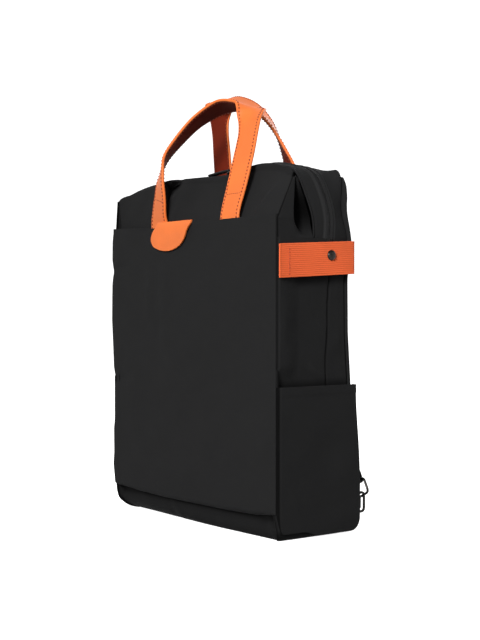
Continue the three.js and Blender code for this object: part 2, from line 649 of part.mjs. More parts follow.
// Flat strap along a middle line: its width lies at the given angle in plan, tilted by its lean
function flatStrap(stations, size) {
  const middle = stations.map((s) => at(s.x, s.depth, s.height));
  const outer = [];
  const inner = [];
  stations.forEach((station, i) => {
    const before = middle[Math.max(i - 1, 0)];
    const after = middle[Math.min(i + 1, middle.length - 1)];
    const along = after.clone().sub(before).normalize();
    const turn = THREE.MathUtils.degToRad(station.turn);
    const lean = THREE.MathUtils.degToRad(station.lean);
    const width = station.across ? station.across.clone() : new THREE.Vector3(
      Math.cos(turn), Math.sin(turn) * Math.cos(lean), -Math.sin(turn) * Math.sin(lean));
    width.addScaledVector(along, -width.dot(along)).normalize();
    const normal = along.clone().cross(width);
    const { wide, thick } = size(station);
    const edge = (side, face) => middle[i].clone()
      .addScaledVector(width, side * wide / 2).addScaledVector(normal, face * thick / 2);
    outer.push([edge(-1, 1), edge(1, 1)]);
    inner.push([edge(-1, -1), edge(1, -1)]);
  });
  const solid = wallBetween(outer, inner);
  return toSolid(solid).volume() > 0 ? solid : flipped(solid);
}

function handle(stations) {
  return flatStrap(refine(stations, 2), () => ({ wide: HANDLE.width, thick: HANDLE.thick }));
}

// Frame of the right hook: its far bar lies across the strap's lower end
const hookTilt = THREE.MathUtils.degToRad(HOOK.tilt);
const hookAcross = new THREE.Vector3(Math.cos(hookTilt), 0, Math.sin(hookTilt));
const hookUp = new THREE.Vector3(-Math.sin(hookTilt), 0, Math.cos(hookTilt));

function hookPoint(across, up) {
  return at(HOOK.x, HOOK.depth, HOOK.height).addScaledVector(hookAcross, across).addScaledVector(hookUp, up);
}

function ovalLoop(place, across, up, wire) {
  const corner = LOOP_CORNER;
  const points = [];
  const corners = [[1, 1], [-1, 1], [-1, -1], [1, -1]];
  corners.forEach(([sx, sy], i) => {
    spread(0, 90, 3).forEach((angle) => {
      const turn = THREE.MathUtils.degToRad(angle + 90 * i);
      const x = sx * (across / 2 - corner) + corner * Math.cos(turn);
      const y = sy * (up / 2 - corner) + corner * Math.sin(turn);
      points.push(place(x, y));
    });
  });
  const route = new THREE.CatmullRomCurve3(points, true, 'centripetal');
  const loop = new THREE.TubeGeometry(route, 20, wire, 6, true);
  return mergeVertices(loop.deleteAttribute('normal').deleteAttribute('uv'), WELD);
}

function strapHook() {
  return ovalLoop(hookPoint, HOOK.across, HOOK.along, HOOK.wire);
}

function cornerRing() {
  const place = (out, up) => at(RING.x, RING.depth + RING.reach / 2 + out, RING.height + up);
  return ovalLoop(place, RING.reach, RING.length, RING.wire);
}

// Tab of webbing folded round the ring's bar and sewn to the back's lower corner
function ringTab() {
  const near = RING.wire + RING_TAB.gap + RING_TAB.thick;
  const bend = spread(-90, 90, 6).map((angle) => THREE.MathUtils.degToRad(angle));
  const route = [
    [RING_TAB.seat, RING.depth - near],
    ...bend.map((turn) => [RING.x + near * Math.cos(turn), RING.depth + near * Math.sin(turn)]),
    [RING_TAB.seat + RING_TAB.step, RING.depth + near],
  ];
  const heights = spread(RING.height - RING_TAB.width / 2, RING.height + RING_TAB.width / 2, 1);
  return wall(heights.map((height) => route.map(([x, depth]) => at(x, depth, height))), RING_TAB.thick);
}

// Shoulder strap: a padded band, then webbing that turns round the hook's upper bar
function shoulderStrap() {
  const bar = hookPoint(0, HOOK.along / 2);
  const webbing = SHOULDER[SHOULDER.length - 1];
  const reach = HOOK.wire + SEAM_GAP + webbing.thick / 2;
  const barDepth = bar.y + BODY_DEPTH / 2;
  const turnRound = spread(-90, 90, 6).map((angle) => {
    const turn = THREE.MathUtils.degToRad(angle);
    const drop = reach * Math.cos(turn);
    return {
      x: bar.x - hookUp.x * drop,
      depth: barDepth + reach * Math.sin(turn),
      height: bar.z - hookUp.z * drop,
      width: webbing.width,
      thick: webbing.thick,
      across: hookAcross,
    };
  });
  const last = turnRound[turnRound.length - 1];
  const back = { ...last, x: bar.x + hookUp.x * STRAP_TAIL, height: bar.z + hookUp.z * STRAP_TAIL };
  const stations = [...refine(SHOULDER, 2), ...turnRound, back].map((s) => ({ ...s, turn: 0, lean: 0 }));
  return flatStrap(stations, (s) => ({ wide: s.width, thick: s.thick }));
}

const leftZip = ZIP.slice(0, 4).map((row) => ({ ...row, x: -row.x }));
const rightZip = ZIP.slice(-4).reverse();
const leftRidge = RIDGE[0];
const rightRidge = RIDGE[RIDGE.length - 1];

addPart('front_panel', frontPanel(), BLACK_CLOTH);
addPart('back_panel', backPanel(), BLACK_CLOTH);
addPart('side_panel_right', sidePanel(rightRidge, FOLD_DEPTH, rightZip), BLACK_CLOTH);
addPart('side_panel_left', mirrored(sidePanel(leftRidge, 0, leftZip)), BLACK_CLOTH);
addPart('base_panel', basePanel(), BLACK_CLOTH);
addPart('zip_strip_front', zipStripFront(), BLACK_CLOTH);
addPart('zip_tape', zipTape(), BLACK_TAPE);
addPart('zip_strip_back', zipStripBack(), BLACK_CLOTH);
addPart('zip_slider', zipSlider(), DARK_METAL);
addPart('zip_pull', zipPull(), BLACK_TAPE);
addPart('front_pocket', frontPocket(), BLACK_CLOTH);
addPart('pocket_tab', pocketTab(), ORANGE_LEATHER);
addPart('handle_front', handle(HANDLE_FRONT), ORANGE_LEATHER);
addPart('handle_back', handle(HANDLE_BACK), ORANGE_LEATHER);

const PAIRS = [
  { name: 'side_pocket', geometry: sidePocket(), look: BLACK_CLOTH },
  { name: 'side_strap', geometry: sideStrap(), look: ORANGE_WEBBING },
  { name: 'snap_stud', geometry: snapStud(), look: DARK_METAL },
  { name: 'shoulder_strap', geometry: shoulderStrap(), look: BLACK_CLOTH },
  { name: 'strap_hook', geometry: strapHook(), look: DARK_METAL },
  { name: 'corner_ring', geometry: cornerRing(), look: DARK_METAL },
  { name: 'ring_tab', geometry: ringTab(), look: BLACK_TAPE },
];
for (const { name, geometry, look } of PAIRS) {
  addPart(`${name}_right`, geometry, look);
  addPart(`${name}_left`, mirrored(geometry), look);
}

export default group;
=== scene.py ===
import math

import bmesh
import bpy
import numpy as np
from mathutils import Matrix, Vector


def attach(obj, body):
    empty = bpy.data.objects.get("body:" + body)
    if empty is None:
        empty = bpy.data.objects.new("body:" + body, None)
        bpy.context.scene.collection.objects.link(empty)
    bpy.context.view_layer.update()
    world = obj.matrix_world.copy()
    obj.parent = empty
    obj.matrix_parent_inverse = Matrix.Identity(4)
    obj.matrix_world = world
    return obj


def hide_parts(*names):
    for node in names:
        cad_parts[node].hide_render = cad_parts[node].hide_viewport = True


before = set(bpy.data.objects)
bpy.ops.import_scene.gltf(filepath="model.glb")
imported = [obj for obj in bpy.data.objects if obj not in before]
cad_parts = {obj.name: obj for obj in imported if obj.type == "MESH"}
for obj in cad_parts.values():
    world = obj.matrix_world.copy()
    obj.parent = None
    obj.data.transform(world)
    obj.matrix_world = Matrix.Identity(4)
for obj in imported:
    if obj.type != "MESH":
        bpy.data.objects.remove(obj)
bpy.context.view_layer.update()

MM = 0.001

# Driving sizes, in millimetres. A depth is measured back from the front pocket's outer face.
BODY_DEPTH = 115
CLOTH = 2
SEAM_GAP = 0.6
SIDE_HALF = 167.5
SIDE_FRONT = 0.8
DISHED_HALF = 160.5
DISH_FOOT = (8, 36)
SLACK_DISH = (36, 90)
DISH_TOP = (288, 330)
FRONT_DEPTH = 9
FRONT_FOOT_DEPTH = 4.5
FRONT_FOOT = (13, 22)
FLOOR_GAP = 0.5
FRONT_ROUND = 4.5
SLACK_ROUND = 17
SLACK_SIDE = 30
SIDE_ROUND = 4.5
BACK_ROUND = 14
BACK_PAD = 6
WAIST = 2.5
PAD_SUNK = 2
PAD_SEAM = 11
PAD_CHANNEL = 62
PAD_SEAM_HEIGHTS = (26, 398)
BASE_PLATE = 2.5
LEAN_START = 358
SHOULDER_SHARE = 0.62
CROWN = 8
SEAM_DEPTH = 39.4
LEFT_RIDGE_HALF = 164
RIGHT_RIDGE_HALF = 148
SEAM_HALF = 150
GUSSET_LOW = 336
FOLD_DEPTH = 24
FOLD_START = 0.46
FOLD_VALLEY = 0.82
FOLD_TUCK = 3
PLEAT_DEPTH = 9
STRIP_RISE = 2
TAPE_RISE = 1
TAPE_CROWN = 1.2
COIL_RISE = 1.5
CORNER_CURL = 2.5
PANEL_HALF = SIDE_HALF - CLOTH - 3 * SEAM_GAP
# Rims and edges: bevels, the angle that counts as sharp, and the shape of a strap's edge as shares
CLOTH_BEVEL = 0.5
BAND_BEVEL = 0.4
TAB_BEVEL = 0.7
BACK_BEVEL = 1.2
STRAP_BEVEL = 0.3
SHARP_ANGLE = 50
SECTION_ROUND = 0.45
SECTION_BLUNT = 0.02
# Stitches and coils: pitch, length and radius of each kind, then their shift, dip and channel
EDGE_STITCH = (4.4, 2.5, 0.7)
LEG_STITCH = (3.8, 2.6, 0.45)
PAD_STITCH = (4.0, 2.8, 0.4)
STRAP_STITCH = (3.4, 2.5, 0.45)
COIL_TURN = (1.5, 1.35, 0.9)
COIL_SHIFT = 1.1
STITCH_SUNK = 0.4
STITCH_END = 0.55
SEWN_INSET = 3.2
GROOVE_WIDTH = 0.7
# Where the slack of the left bottom edges ends
SLACK_DEPTHS = (20, 80)
SLACK_WIDTHS = (-150, 60)
# Rows of the panels' grids: lowest, highest and how many, and the foot of the back's face
FRONT_FOOT_ROWS = (18.5, 34, 10)
FRONT_ROWS = (40, 350, 40)
SIDE_FOOT_ROWS = (9, 36, 16)
SIDE_ROWS = (40, GUSSET_LOW, 84)
BACK_FACE_LOW = 18
# Folds, seams and padding: sizes, and the heights, depths, x or shares where each starts and ends
CURL_SHARES = (0.975, 1)
CURL_END = (40, 120)
SIDE_CURL = (0, 0.03)
FOOT_FOLDS_END = (28, 34)
UPPER_CALM = ((0, 0.15), (0.8, 1))
UPPER_CALM_SIDE = (0.93, 1)
PLEAT_ENDS = (-60, -52)
PLEAT_SPREAD = (385, 418)
PLEAT_START = (-62, -60)
PLEAT_FADE = 3
PLEAT_RISE = (386, 398)
ROLL_DEPTHS = (8, 38)
ROLL_HEIGHTS = (174, 196)
SIDE_SEAM_WIDTH = 1.2
SIDE_SEAM_SUNK = 1.6
SIDE_SEAM_START = (150, 165)
SIDE_CALM = ((0, 0.12), (0.9, 1))
SIDE_CALM_HEIGHTS = ((160, 180), (300, 330))
GUSSET_STEP = 1.2
GUSSET_SWELL = 0.8
GUSSET_JOIN = 0.25
FOLD_CURVE = 1.4
WAIST_PLACE = (370, 15)
PAD_RIM = (0, 7)
PAD_FOOT = (14, 24)
PAD_CHANNEL_HALF = 2
FILL_PRESSURE = 4.0
FILL_STEPS = 20
# Unevenness of the cloth: height, seed and wave length
UPPER_WAVES = (0.7, 3, 60)
POCKET_WAVES = ((0.9, 5, 130), (0.3, 6, 45))
SIDE_WAVES = (0.7, 11, 50)
SIDE_POCKET_WAVES = (0.5, 17, 60)
# Shade painted into the cloth's colour: how dark, and where
SEAM_DARK = 0.95
SEAM_SHADOW = (0.4, 1.8)
PLEAT_DARK = 0.97
FOOT_SHADES = (0.35, 0.6)
FOOT_SHADE_RISE = (1, 12)
UNDER_POCKET_DARK = 0.8
UNDER_POCKET = (17, 23)
SIDE_RUN = 110
SIDE_SEAM_DARK = 0.85
SIDE_FOOT_SHADE = 0.12
SIDE_FOOT_RISE = (6, 14)
RIM_DARK = 0.6
RIM_SHADOW = ((160, 169), (171, 180))
GUSSET_RUN = 50
FOLD_DARK = 0.98
FOLD_SHADOW = (FOLD_START + 0.1, FOLD_VALLEY - 0.06)
RIB_SHADE = 0.82


def table(columns, *rows):
    """A short table as arrays, by the name of each column."""
    return dict(zip(columns.split(), np.array(rows, float).T))


# Top ridge of the front panel, from left to right
RIDGE = table(
    "x depth height",
    (-164, 5, 406), (-138, 9, 411), (-115, 12, 415), (-92, 13, 418), (-61, 7.5, 420), (-49, 26, 421),
    (-28, 33, 420), (12, 34, 418), (47, 35, 420), (77, 36, 426), (104, 37, 426), (130, 37.5, 421.5),
    (148, 38, 414),
)
# Zipped top, from the left side over the top to the right side, and the rows of its sides
ZIP_TOP = 400
ZIP_SIDE_ROWS = slice(1, 5)
ZIP_SIDE = (
    (162, 333, 53, 66, 83, 104.4, 0), (165.5, 338, 53, 66, 83, 104.4, 0),
    (164.5, 360, 52, 68, 85, 100.4, 0), (160.5, 384, 46, 65, 82, 98.4, -3),
)
ZIP = table(
    "x height front tape_front tape_back back drop",
    *((-x, *row) for x, *row in ZIP_SIDE),
    (-152, 408, 41, 58, 75, 98.4, -10), (-138, 416, 40, 52, 69, 101, 1), (-106, 419, 40, 50, 67, 103, 6),
    (-58, 420, 40, 49, 66, 103, 6), (-18, 419, 40, 49, 66, 103, 5), (22, 418, 40, 49, 66, 103, 4),
    (47, 420, 40, 49, 66, 103, 6), (75, 425, 40, 49, 66, 103, 9), (102, 425, 40, 50, 67, 103, 9),
    (127, 420, 40, 52, 69, 102, 6), (140, 417, 40, 54, 71, 101, 1), (152, 408, 41, 59, 76, 98.4, -10),
    *reversed(ZIP_SIDE),
)
STRIP_TUCK = 2
STRIP_SUNK = 1.4
TAPE_THICK = 1.6
BACK_HEM = 4.5
BACK_HEM_IN = 0.2
# Ridges along the zipped top: how far out, place across the band and width
FRONT_STRIP_RIDGES = ((1.2, 0.06, 0.07), (-0.8, 0.22, 0.06))
TAPE_RIDGES = ((0.4, 0.2, 0.04), (0.4, 0.8, 0.04))
BACK_STRIP_RIDGES = ((0.8, 0, 0.06),)
# Slider and its pull: places beside the slider's middle, and lifts above the coils
SLIDER_X = 14
SLIDER = table("x lift", (-7.5, 2.2), (-3, 3.4), (3, 3.4), (7.5, 2.2))
SLIDER_SECTION = (10, 3.6)
PULL = table("x lift", (-8, 6.6), (-20, 5.6), (-34, 4.4), (-47, 3.2))
PULL_SECTION = (9, 2.6)
PULL_TAPER = 0.55
PULL_TAPER_END = (0, 0.3)
# Outer face of the padded back, and its half width above the side panels
BACK = table(
    "height depth",
    (14, 120), (60, 120), (165, 116.5), (230, 112), (336, 111), (355, 108), (380, 105.6), (409, 105.2),
)
BACK_SHOULDER = table("height half", (336, 167.5), (384, 167.5), (400, 165), (409, 160))
# Front pocket: its lower edge, folds and hem, its lip, and its left edge with the dents of slack cloth
POCKET_RIGHT = 165.4
POCKET_LOW = table(
    "x height",
    (-172, 33), (-160, 28), (-120, 25), (-60, 23), (70, 23), (125, 24.5), (150, 27.5), (166, 31),
)
POCKET_FOOT_ROUND = 7
POCKET_FOOT_DEPTH = 8
POCKET_FOOT_EDGE = (0, 22)
POCKET_CROWDING = 0.06
POCKET_WRAP = 2.5
POCKET_WRAP_DEPTH = 3.4
POCKET_CALM_EDGE = (0, 26)
POCKET_CALM_FOOT = (30, 60)
POCKET_FOLDS_EDGE = (-2, 6)
POCKET_FOLDS_END = (318, 330)
TAB_CALM = 0.8
TAB_REACH = (-40, 50)
TAB_HEIGHTS = (300, 330)
LIP_HEM = 0.4
LIP_HEM_WIDTH = 3.0
LIP = table(
    "x height",
    (-170, 362), (-125, 360.5), (-82, 358), (-35, 359), (10, 360.5), (70, 361.5), (170, 362),
)
LEFT_EDGE = table(
    "height x",
    (31, -168), (54, -172), (70, -170.5), (101, -171), (125, -168.5), (150, -168), (165, -167), (182, -171),
    (212, -173), (243, -175.5), (275, -175), (290, -174.5), (306, -171.5), (322, -174.5), (345, -174),
    (362, -171),
)
# Leather tab: a profile folded over the lip, from its hidden end to its rounded tip
TAB_THICK = 2
TAB = table(
    "depth height half centre",
    (4.3, 348, 21, -29), (4.4, 358.5, 23, -29), (2.8, 363.6, 34, -30), (-1.4, 364.2, 36, -28.5),
    (-3.3, 360, 36, -29.5), (-4, 352, 36.2, -36.5), (-4, 345, 36, -40), (-3.8, 339.5, 33.3, -41.5),
    (-3.5, 334, 26.8, -42.8), (-3.3, 330.4, 15.6, -43), (-3.2, 328.7, 6, -42.5),
)
# Handles: the strap's middle line, the angle of its width in plan, and its lean
HANDLE_WIDTH = 36
HANDLE_THICK = 3.5
HANDLE_GROOVE = 0.35
HANDLE_STITCH_SUNK = 0.1
HANDLE_FRONT = table(
    "x depth height turn lean",
    (-72, 6.8, 338, 180, 0), (-71.5, 6.6, 362, 178, 0), (-69.5, 4.8, 376, 171, 0), (-64.5, 2.4, 394, 165, 0),
    (-62.5, 1.6, 418, 155, 1), (-63.5, 8.5, 442, 140, 4), (-51, 20, 465, 131.5, 6),
    (-29.5, 35, 489.5, 123.5, 9), (1.4, 50, 505, 110, 15), (33, 57, 503, 80, 15),
    (48.5, 56, 497, 48, 18), (57.5, 50.5, 489, 16, 20), (63.8, 43.5, 478, 2, 20),
    (68.4, 37, 464, 0, 16), (71, 28.5, 437.5, 2, 10), (72.5, 17, 401, 1, 4),
    (72.8, 7.2, 369.5, -2, 0), (73, 6.8, 352, 0, 0), (73, 6.8, 338, 0, 0),
)
HANDLE_BACK = table(
    "x depth height turn lean",
    (74, 113, 342, 0, 0), (73.5, 110.2, 358, 0, 0), (71.8, 108.3, 380, 0, 0), (69.8, 108.4, 402, -2, 0),
    (63.5, 109.2, 418, -13, 1), (59, 106, 436, -27, 3), (48.5, 100.6, 463, -43.5, 7), (36.5, 96, 484, -58, 7),
    (18, 93.3, 500.5, -73, 1), (-7, 91.7, 514, -86, -9), (-35, 91, 522, -95, -16),
    (-57, 92.5, 523, -108, -17), (-67, 95.7, 518, -138, -12), (-72.5, 100.4, 506, -172, -3),
    (-75.3, 104.3, 486, -183, 6), (-75.8, 107.3, 457, -181, 8), (-75, 109, 427, -180, 6),
    (-74.2, 108.4, 400, -180, 2), (-73.6, 108.4, 379, -180, 0), (-73.5, 110.2, 358, -180, 0),
    (-74, 113, 342, -180, 0),
)
HANDLE_SEAMS = (391, 392)
# Side pockets, side straps and their studs
SIDE_POCKET_LOW = 8
SIDE_POCKET_HIGH = 170.5
SIDE_POCKET_FRONT = 0.8
SIDE_POCKET_OUT = 170.3
SIDE_POCKET_FOOT = 12
SIDE_POCKET_RIM = 2.8
SIDE_POCKET_CORNER = 14
SIDE_POCKET_FACE = 22
SIDE_POCKET_BACK = 1.6
SIDE_POCKET_BACK_END = (90, 165)
SIDE_POCKET_EDGE = 0.5
SIDE_POCKET_SQUARE = 90
SIDE_POCKET_BULGE = 2
BULGE_SHARES = (0.5, 0.85)
BULGE_HEIGHTS = ((8, 30), (60, 150))
SIDE_POCKET_SAG = 6
SAG_DEPTHS = (35, 62)
SAG_HEIGHTS = (10, 60)
SIDE_POCKET_CALM = ((0, 0.12), (0.88, 1))
SIDE_POCKET_CALM_FOOT = (18, 40)
SIDE_HEM = 0.5
SIDE_HEM_EDGE = (9, 11)
SIDE_HEM_SHARES = (0, 0.05)
SLACK_POCKET = 8
SLACK_POCKET_END = (30, 55)
SLACK_POCKET_ROUND = 22.5
SIDE_SEAM = table("height depth", (160, 76.5), (180, 77), (292, 81.5), (340, 82.5))
STRAP_LOW = 291
STRAP_WIDTH = 38
STRAP_THICK = 1.8
STRAP_CLIMB = 6.5
STRAP_SEAM = 14
STRAP_STITCH_OUT = 0.1
STRAP_MARGIN = 2
STRAP_RIBS = 17
RIB_RISE = 0.3
RIB_SUNK = 0.1
STRAP_ROUTE = table(
    "x depth",
    (172.4, -0.4), (171.6, 5), (170.8, 28), (170.9, 58), (170.9, 88), (170.7, 106), (169.7, 112.4),
    (165, 114.8), (147, 114.8),
)
STUD_DEPTH = 76
STUD_HEIGHT = 318
STUD_RADIUS = 6
STUD_DOME = 3.2
STUD_HOLE = 0.4
STUD_SIDE = 0.7
STUD_FOOT = 1.0
STUD_STEP = 0.5
# Shoulder straps, hooks, rings and ring tabs at the back
SHOULDER = table(
    "x depth height width thick",
    (29, 108.4, 392, 44, 4), (29, 110.6, 372, 44, 6), (31, 119, 338, 44, 8), (47, 126, 276, 44, 8),
    (73, 129, 210, 44, 8), (101, 129, 150, 44, 8), (127, 128, 105, 34, 6), (142, 126.4, 82, 16, 2.4),
)
PAD_GROOVE = 0.0625
PAD_GROOVE_INSET = 4.0
WEBBING_WIDTH = 15
WEBBING_THICK = 2
WEBBING_TAIL = 16
HOOK = dict(x=161.5, depth=128.7, height=48, across=25, along=18, wire=1.5, tilt=28)
RING = dict(x=165, depth=123.6, height=33, length=22, reach=9, wire=1.6)
RING_TAB = dict(width=13, thick=1.2, seat=148, step=6, gap=0.3, bevel=0.2)
# Small folds: each row is a line on a panel, with the fold's width and how far it stands out
POCKET_FOLDS = table(
    "u0 v0 u1 v1 width out",
    (-72, 322, -67, 200, 7, -1.0), (-88, 320, -88, 225, 8, 0.9), (-52, 318, -50, 225, 9, 0.7),
    (-178, 306, -130, 312, 7, -1.6), (-178, 165, -120, 172, 9, -2.0), (-178, 110, -130, 120, 12, -0.8),
    (-150, 60, 150, 52, 16, 0.8), (120, 80, 168, 130, 12, 0.7), (60, 200, 120, 330, 22, 0.8),
)
UPPER_FOLDS = table(
    "u0 v0 u1 v1 width out",
    (108, 362, 138, 404, 4, 1.1), (100, 366, 128, 404, 6, -0.8), (-150, 366, -120, 402, 9, 1.2),
    (-118, 368, -100, 410, 7, -1.4), (-30, 366, 10, 410, 12, 1.0), (20, 370, 40, 408, 9, -0.9),
)
FOOT_FOLDS = table(
    "u0 v0 u1 v1 width out",
    (-52, 24, -16, 4, 5, 1.0), (-58, 22, -24, 2, 5, -1.0), (140, 26, 168, -2, 5, 0.8),
    (128, 26, 150, 6, 5, -0.8), (-130, 30, -80, 10, 5, 0.8), (40, 30, 70, 4, 6, 0.6),
)
SIDE_FOLDS = table(
    "u0 v0 u1 v1 width out",
    (20, 285, 62, 250, 8, 1.2), (30, 262, 66, 200, 10, -1.0), (50, 195, 72, 174, 4, 1.6),
    (40, 190, 68, 170, 4, -1.2), (82, 200, 104, 240, 9, 1.0), (80, 280, 100, 262, 7, 0.9),
    (10, 180, 40, 240, 10, 0.8),
)
SIDE_POCKET_FOLDS = table(
    "u0 v0 u1 v1 width out",
    (8, 90, 40, 60, 6, -0.8), (20, 140, 80, 120, 14, 0.7), (70, 40, 110, 90, 14, 0.8),
    (14, 60, 30, 30, 5, 0.8),
)

# Looks: linear colours, and the range in which noise is read
BLACK = (0.0136, 0.0136, 0.0139)
TAPE_BLACK = (0.013, 0.013, 0.0133)
ORANGE = (0.78, 0.178, 0.039)
# Handles' inner face: a darker lining leather, darkened further as painted shade
LINING_AND_SHADE = (0.16, 0.017, 0.006)
CORAL = (0.95, 0.16, 0.05)
THREAD = (0.2, 0.028, 0.007)
CORAL_STITCH = (0.42, 0.055, 0.018)
DARK_THREAD = (0.03, 0.03, 0.031)
GUNMETAL = (0.02, 0.0185, 0.017)
PALE = (0.86, 0.86, 0.86, 1)
WHITE = (1, 1, 1, 1)
NOISE_RANGE = (0.3, 0.7)

# Camera of the photograph
CAMERA_PLACE = (1.2293, -0.9348, 0.2549)
CAMERA_AIM = (-0.7896, 0.6136, -0.0072)
CAMERA_LENS = 70.57
CAMERA_SENSOR = 36

# Studio, in metres: each lamp is a square panel, given as its name, x, y, z, size and power in watts
FLOOR_FLAT = 3.0
FLOOR_CURVE = 1.5
FLOOR_TOP = 3.5
FLOOR_GLOW = 0.9
SKY = (0.07, 0.37, -0.1, 0.5)
LIGHT_AIM = 0.28
LIGHTS = (
    ("key", 1.3, -2.2, 1.25, 0.7, 86.0),
    ("fill", 2.3, -0.5, 1.3, 1.2, 7.0),
    ("top", 0.2, 0.3, 2.6, 1.6, 6.0),
    ("back", -0.7, 2.4, 1.6, 1.6, 36.0),
)


def at(x, depth, height):
    """Points of the part in millimetres, from x, depth and height."""
    return np.stack(np.broadcast_arrays(x, np.asarray(depth) - BODY_DEPTH / 2, height), -1).astype(float)


def read(tab, key, value, column):
    """Straight-line reading of one column of a table."""
    return np.interp(value, tab[key], tab[column])


def resample(tab, steps):
    """The table with steps rows for each of its own, on a smooth curve through them."""
    count = len(next(iter(tab.values())))
    t = np.linspace(0, count - 1, (count - 1) * steps + 1)
    i = np.minimum(t.astype(int), count - 2)
    f = t - i
    smooth = {}
    for key, values in tab.items():
        p = np.concatenate([[2 * values[0] - values[1]], values, [2 * values[-1] - values[-2]]])
        a, b, c, d = p[i], p[i + 1], p[i + 2], p[i + 3]
        smooth[key] = b + 0.5 * f * (c - a + f * (2 * a - 5 * b + 4 * c - d + f * (3 * (b - c) + d - a)))
    return smooth


def lerp(a, b, t):
    return a + (b - a) * t


def ease(value, low, high):
    """0 below low, 1 above high, smooth between."""
    t = np.clip((value - low) / (high - low), 0, 1)
    return t * t * (3 - 2 * t)


def fade(value, low, high):
    """1 below low, 0 above high, smooth between."""
    return 1 - ease(value, low, high)


def between(value, start, end):
    """1 between the start and the end, which are each a (low, high) pair, and 0 outside."""
    return ease(value, *start) * fade(value, *end)


def hump(value, middle, width):
    """A smooth hump of height 1."""
    return np.exp(-(((value - middle) / width) ** 2))


def quarter(count):
    """Rise and inset along a quarter circle of radius 1, from its foot to its side."""
    turn = np.linspace(0, math.pi / 2, count)
    return 1 - np.cos(turn), 1 - np.sin(turn)


def drawn_in(radius, height, base=FLOOR_GAP):
    """How far a rounded edge of the given radius draws in at a height, from its start at the base."""
    below = np.clip(base + radius - height, 0, radius)
    return radius - np.sqrt(radius**2 - below**2)


def seam_shade(distance):
    """Fold shade beside a sewn edge: dark in the seam, plain beyond its shadow."""
    return 1 - SEAM_DARK * fade(distance, *SEAM_SHADOW)


def unit(vectors):
    return vectors / np.maximum(np.linalg.norm(vectors, axis=-1, keepdims=True), 1e-9)


def grid_normals(grid):
    """Outward directions of a grid whose columns run left to right and rows upward, seen from outside."""
    return unit(np.cross(np.gradient(grid, axis=1), np.gradient(grid, axis=0)))


def displaced(grid, lift):
    return grid + grid_normals(grid) * np.asarray(lift)[..., None]


def waves(u, v, out, seed, length, count=10):
    """Smooth seeded unevenness of about the given height and wave length."""
    rng = np.random.default_rng(seed)
    total = np.zeros(np.broadcast(u, v).shape)
    for _ in range(count):
        angle = rng.uniform(0, 2 * math.pi)
        pitch = 2 * math.pi / (length * rng.uniform(0.7, 1.7))
        total += np.sin(pitch * (u * math.cos(angle) + v * math.sin(angle)) + rng.uniform(0, 2 * math.pi))
    return out * (total / math.sqrt(count))


def folds(u, v, rows):
    """Height of the small folds in a table, each along a line that fades at its ends."""
    lift = np.zeros(np.broadcast(u, v).shape)
    for u0, v0, u1, v1, width, out in zip(*rows.values()):
        length = math.hypot(u1 - u0, v1 - v0)
        t = ((u - u0) * (u1 - u0) + (v - v0) * (v1 - v0)) / length**2
        off = ((u - u0) * (v1 - v0) - (v - v0) * (u1 - u0)) / length
        lift += out * np.clip(1 - (2 * t - 1) ** 2, 0, 1) * hump(off, 0, width)
    return lift


def mesh_object(name, points, faces, uvs=None, shade=None):
    """A new object from points in millimetres, smooth shaded, with a UV pair and a fold shade per point."""
    mesh = bpy.data.meshes.new(name)
    mesh.from_pydata((np.asarray(points) * MM).tolist(), [], faces)
    fold_shade = mesh.attributes.new("fold_shade", "FLOAT", "POINT")
    shade = np.ones(len(points)) if shade is None else shade
    fold_shade.data.foreach_set("value", np.asarray(shade, np.float32))
    if uvs is not None:
        layer = mesh.uv_layers.new(name="UVMap")
        corner = np.zeros(len(mesh.loops), np.int32)
        mesh.loops.foreach_get("vertex_index", corner)
        layer.data.foreach_set("uv", np.asarray(uvs, np.float32)[corner].ravel())
    mesh.shade_smooth()
    mesh.validate()
    obj = bpy.data.objects.new(name, mesh)
    bpy.context.scene.collection.objects.link(obj)
    return obj


def lengths(points, axis=0):
    return np.linalg.norm(np.diff(points, axis=axis), axis=-1)


def running(steps):
    """Distances from the start, from the length of each step."""
    return np.concatenate([[0], np.cumsum(steps)])


def uv_pairs(across, up):
    """UV pairs of a grid in millimetres, from the steps along its rows and along its columns."""
    return np.stack(np.meshgrid(running(across), running(up)), -1).reshape(-1, 2)


def flat_pairs(grid):
    """UV pairs of a grid as if it were laid flat."""
    return uv_pairs(lengths(grid, 1).mean(0), lengths(grid).mean(1))


def rounded(obj, width):
    """Rounds the sharp edges of a piece by the given width in millimetres."""
    bevel = obj.modifiers.new("rounded", "BEVEL")
    bevel.width = width * MM
    bevel.segments = 2
    bevel.limit_method = "ANGLE"
    bevel.angle_limit = math.radians(SHARP_ANGLE)
    return obj


def shell(name, grid, thickness=CLOTH, bevel=CLOTH_BEVEL, shade=1.0):
    """Closed wall with the given outer face, its rims slightly rounded, darker by its fold shade."""
    rows, columns = grid.shape[:2]
    inner = grid - grid_normals(grid) * thickness
    index = np.arange(rows * columns).reshape(rows, columns)
    back = index + rows * columns
    a, b, c, d = index[:-1, :-1], index[:-1, 1:], index[1:, 1:], index[1:, :-1]
    faces = [np.stack([a, b, c, d], -1).reshape(-1, 4)]
    faces.append(np.stack([a, d, c, b], -1).reshape(-1, 4) + rows * columns)
    faces.append(np.stack([index[0, :-1], back[0, :-1], back[0, 1:], index[0, 1:]], -1))
    faces.append(np.stack([index[-1, :-1], index[-1, 1:], back[-1, 1:], back[-1, :-1]], -1))
    faces.append(np.stack([index[:-1, 0], index[1:, 0], back[1:, 0], back[:-1, 0]], -1))
    faces.append(np.stack([index[:-1, -1], back[:-1, -1], back[1:, -1], index[1:, -1]], -1))
    points = np.concatenate([grid.reshape(-1, 3), inner.reshape(-1, 3)])
    uvs = np.tile(flat_pairs(grid), (2, 1))
    shade = np.tile(np.broadcast_to(shade, (rows, columns)).ravel(), 2)
    obj = mesh_object(name, points, np.concatenate(faces).tolist(), uvs, shade)
    return rounded(obj, bevel) if bevel else obj


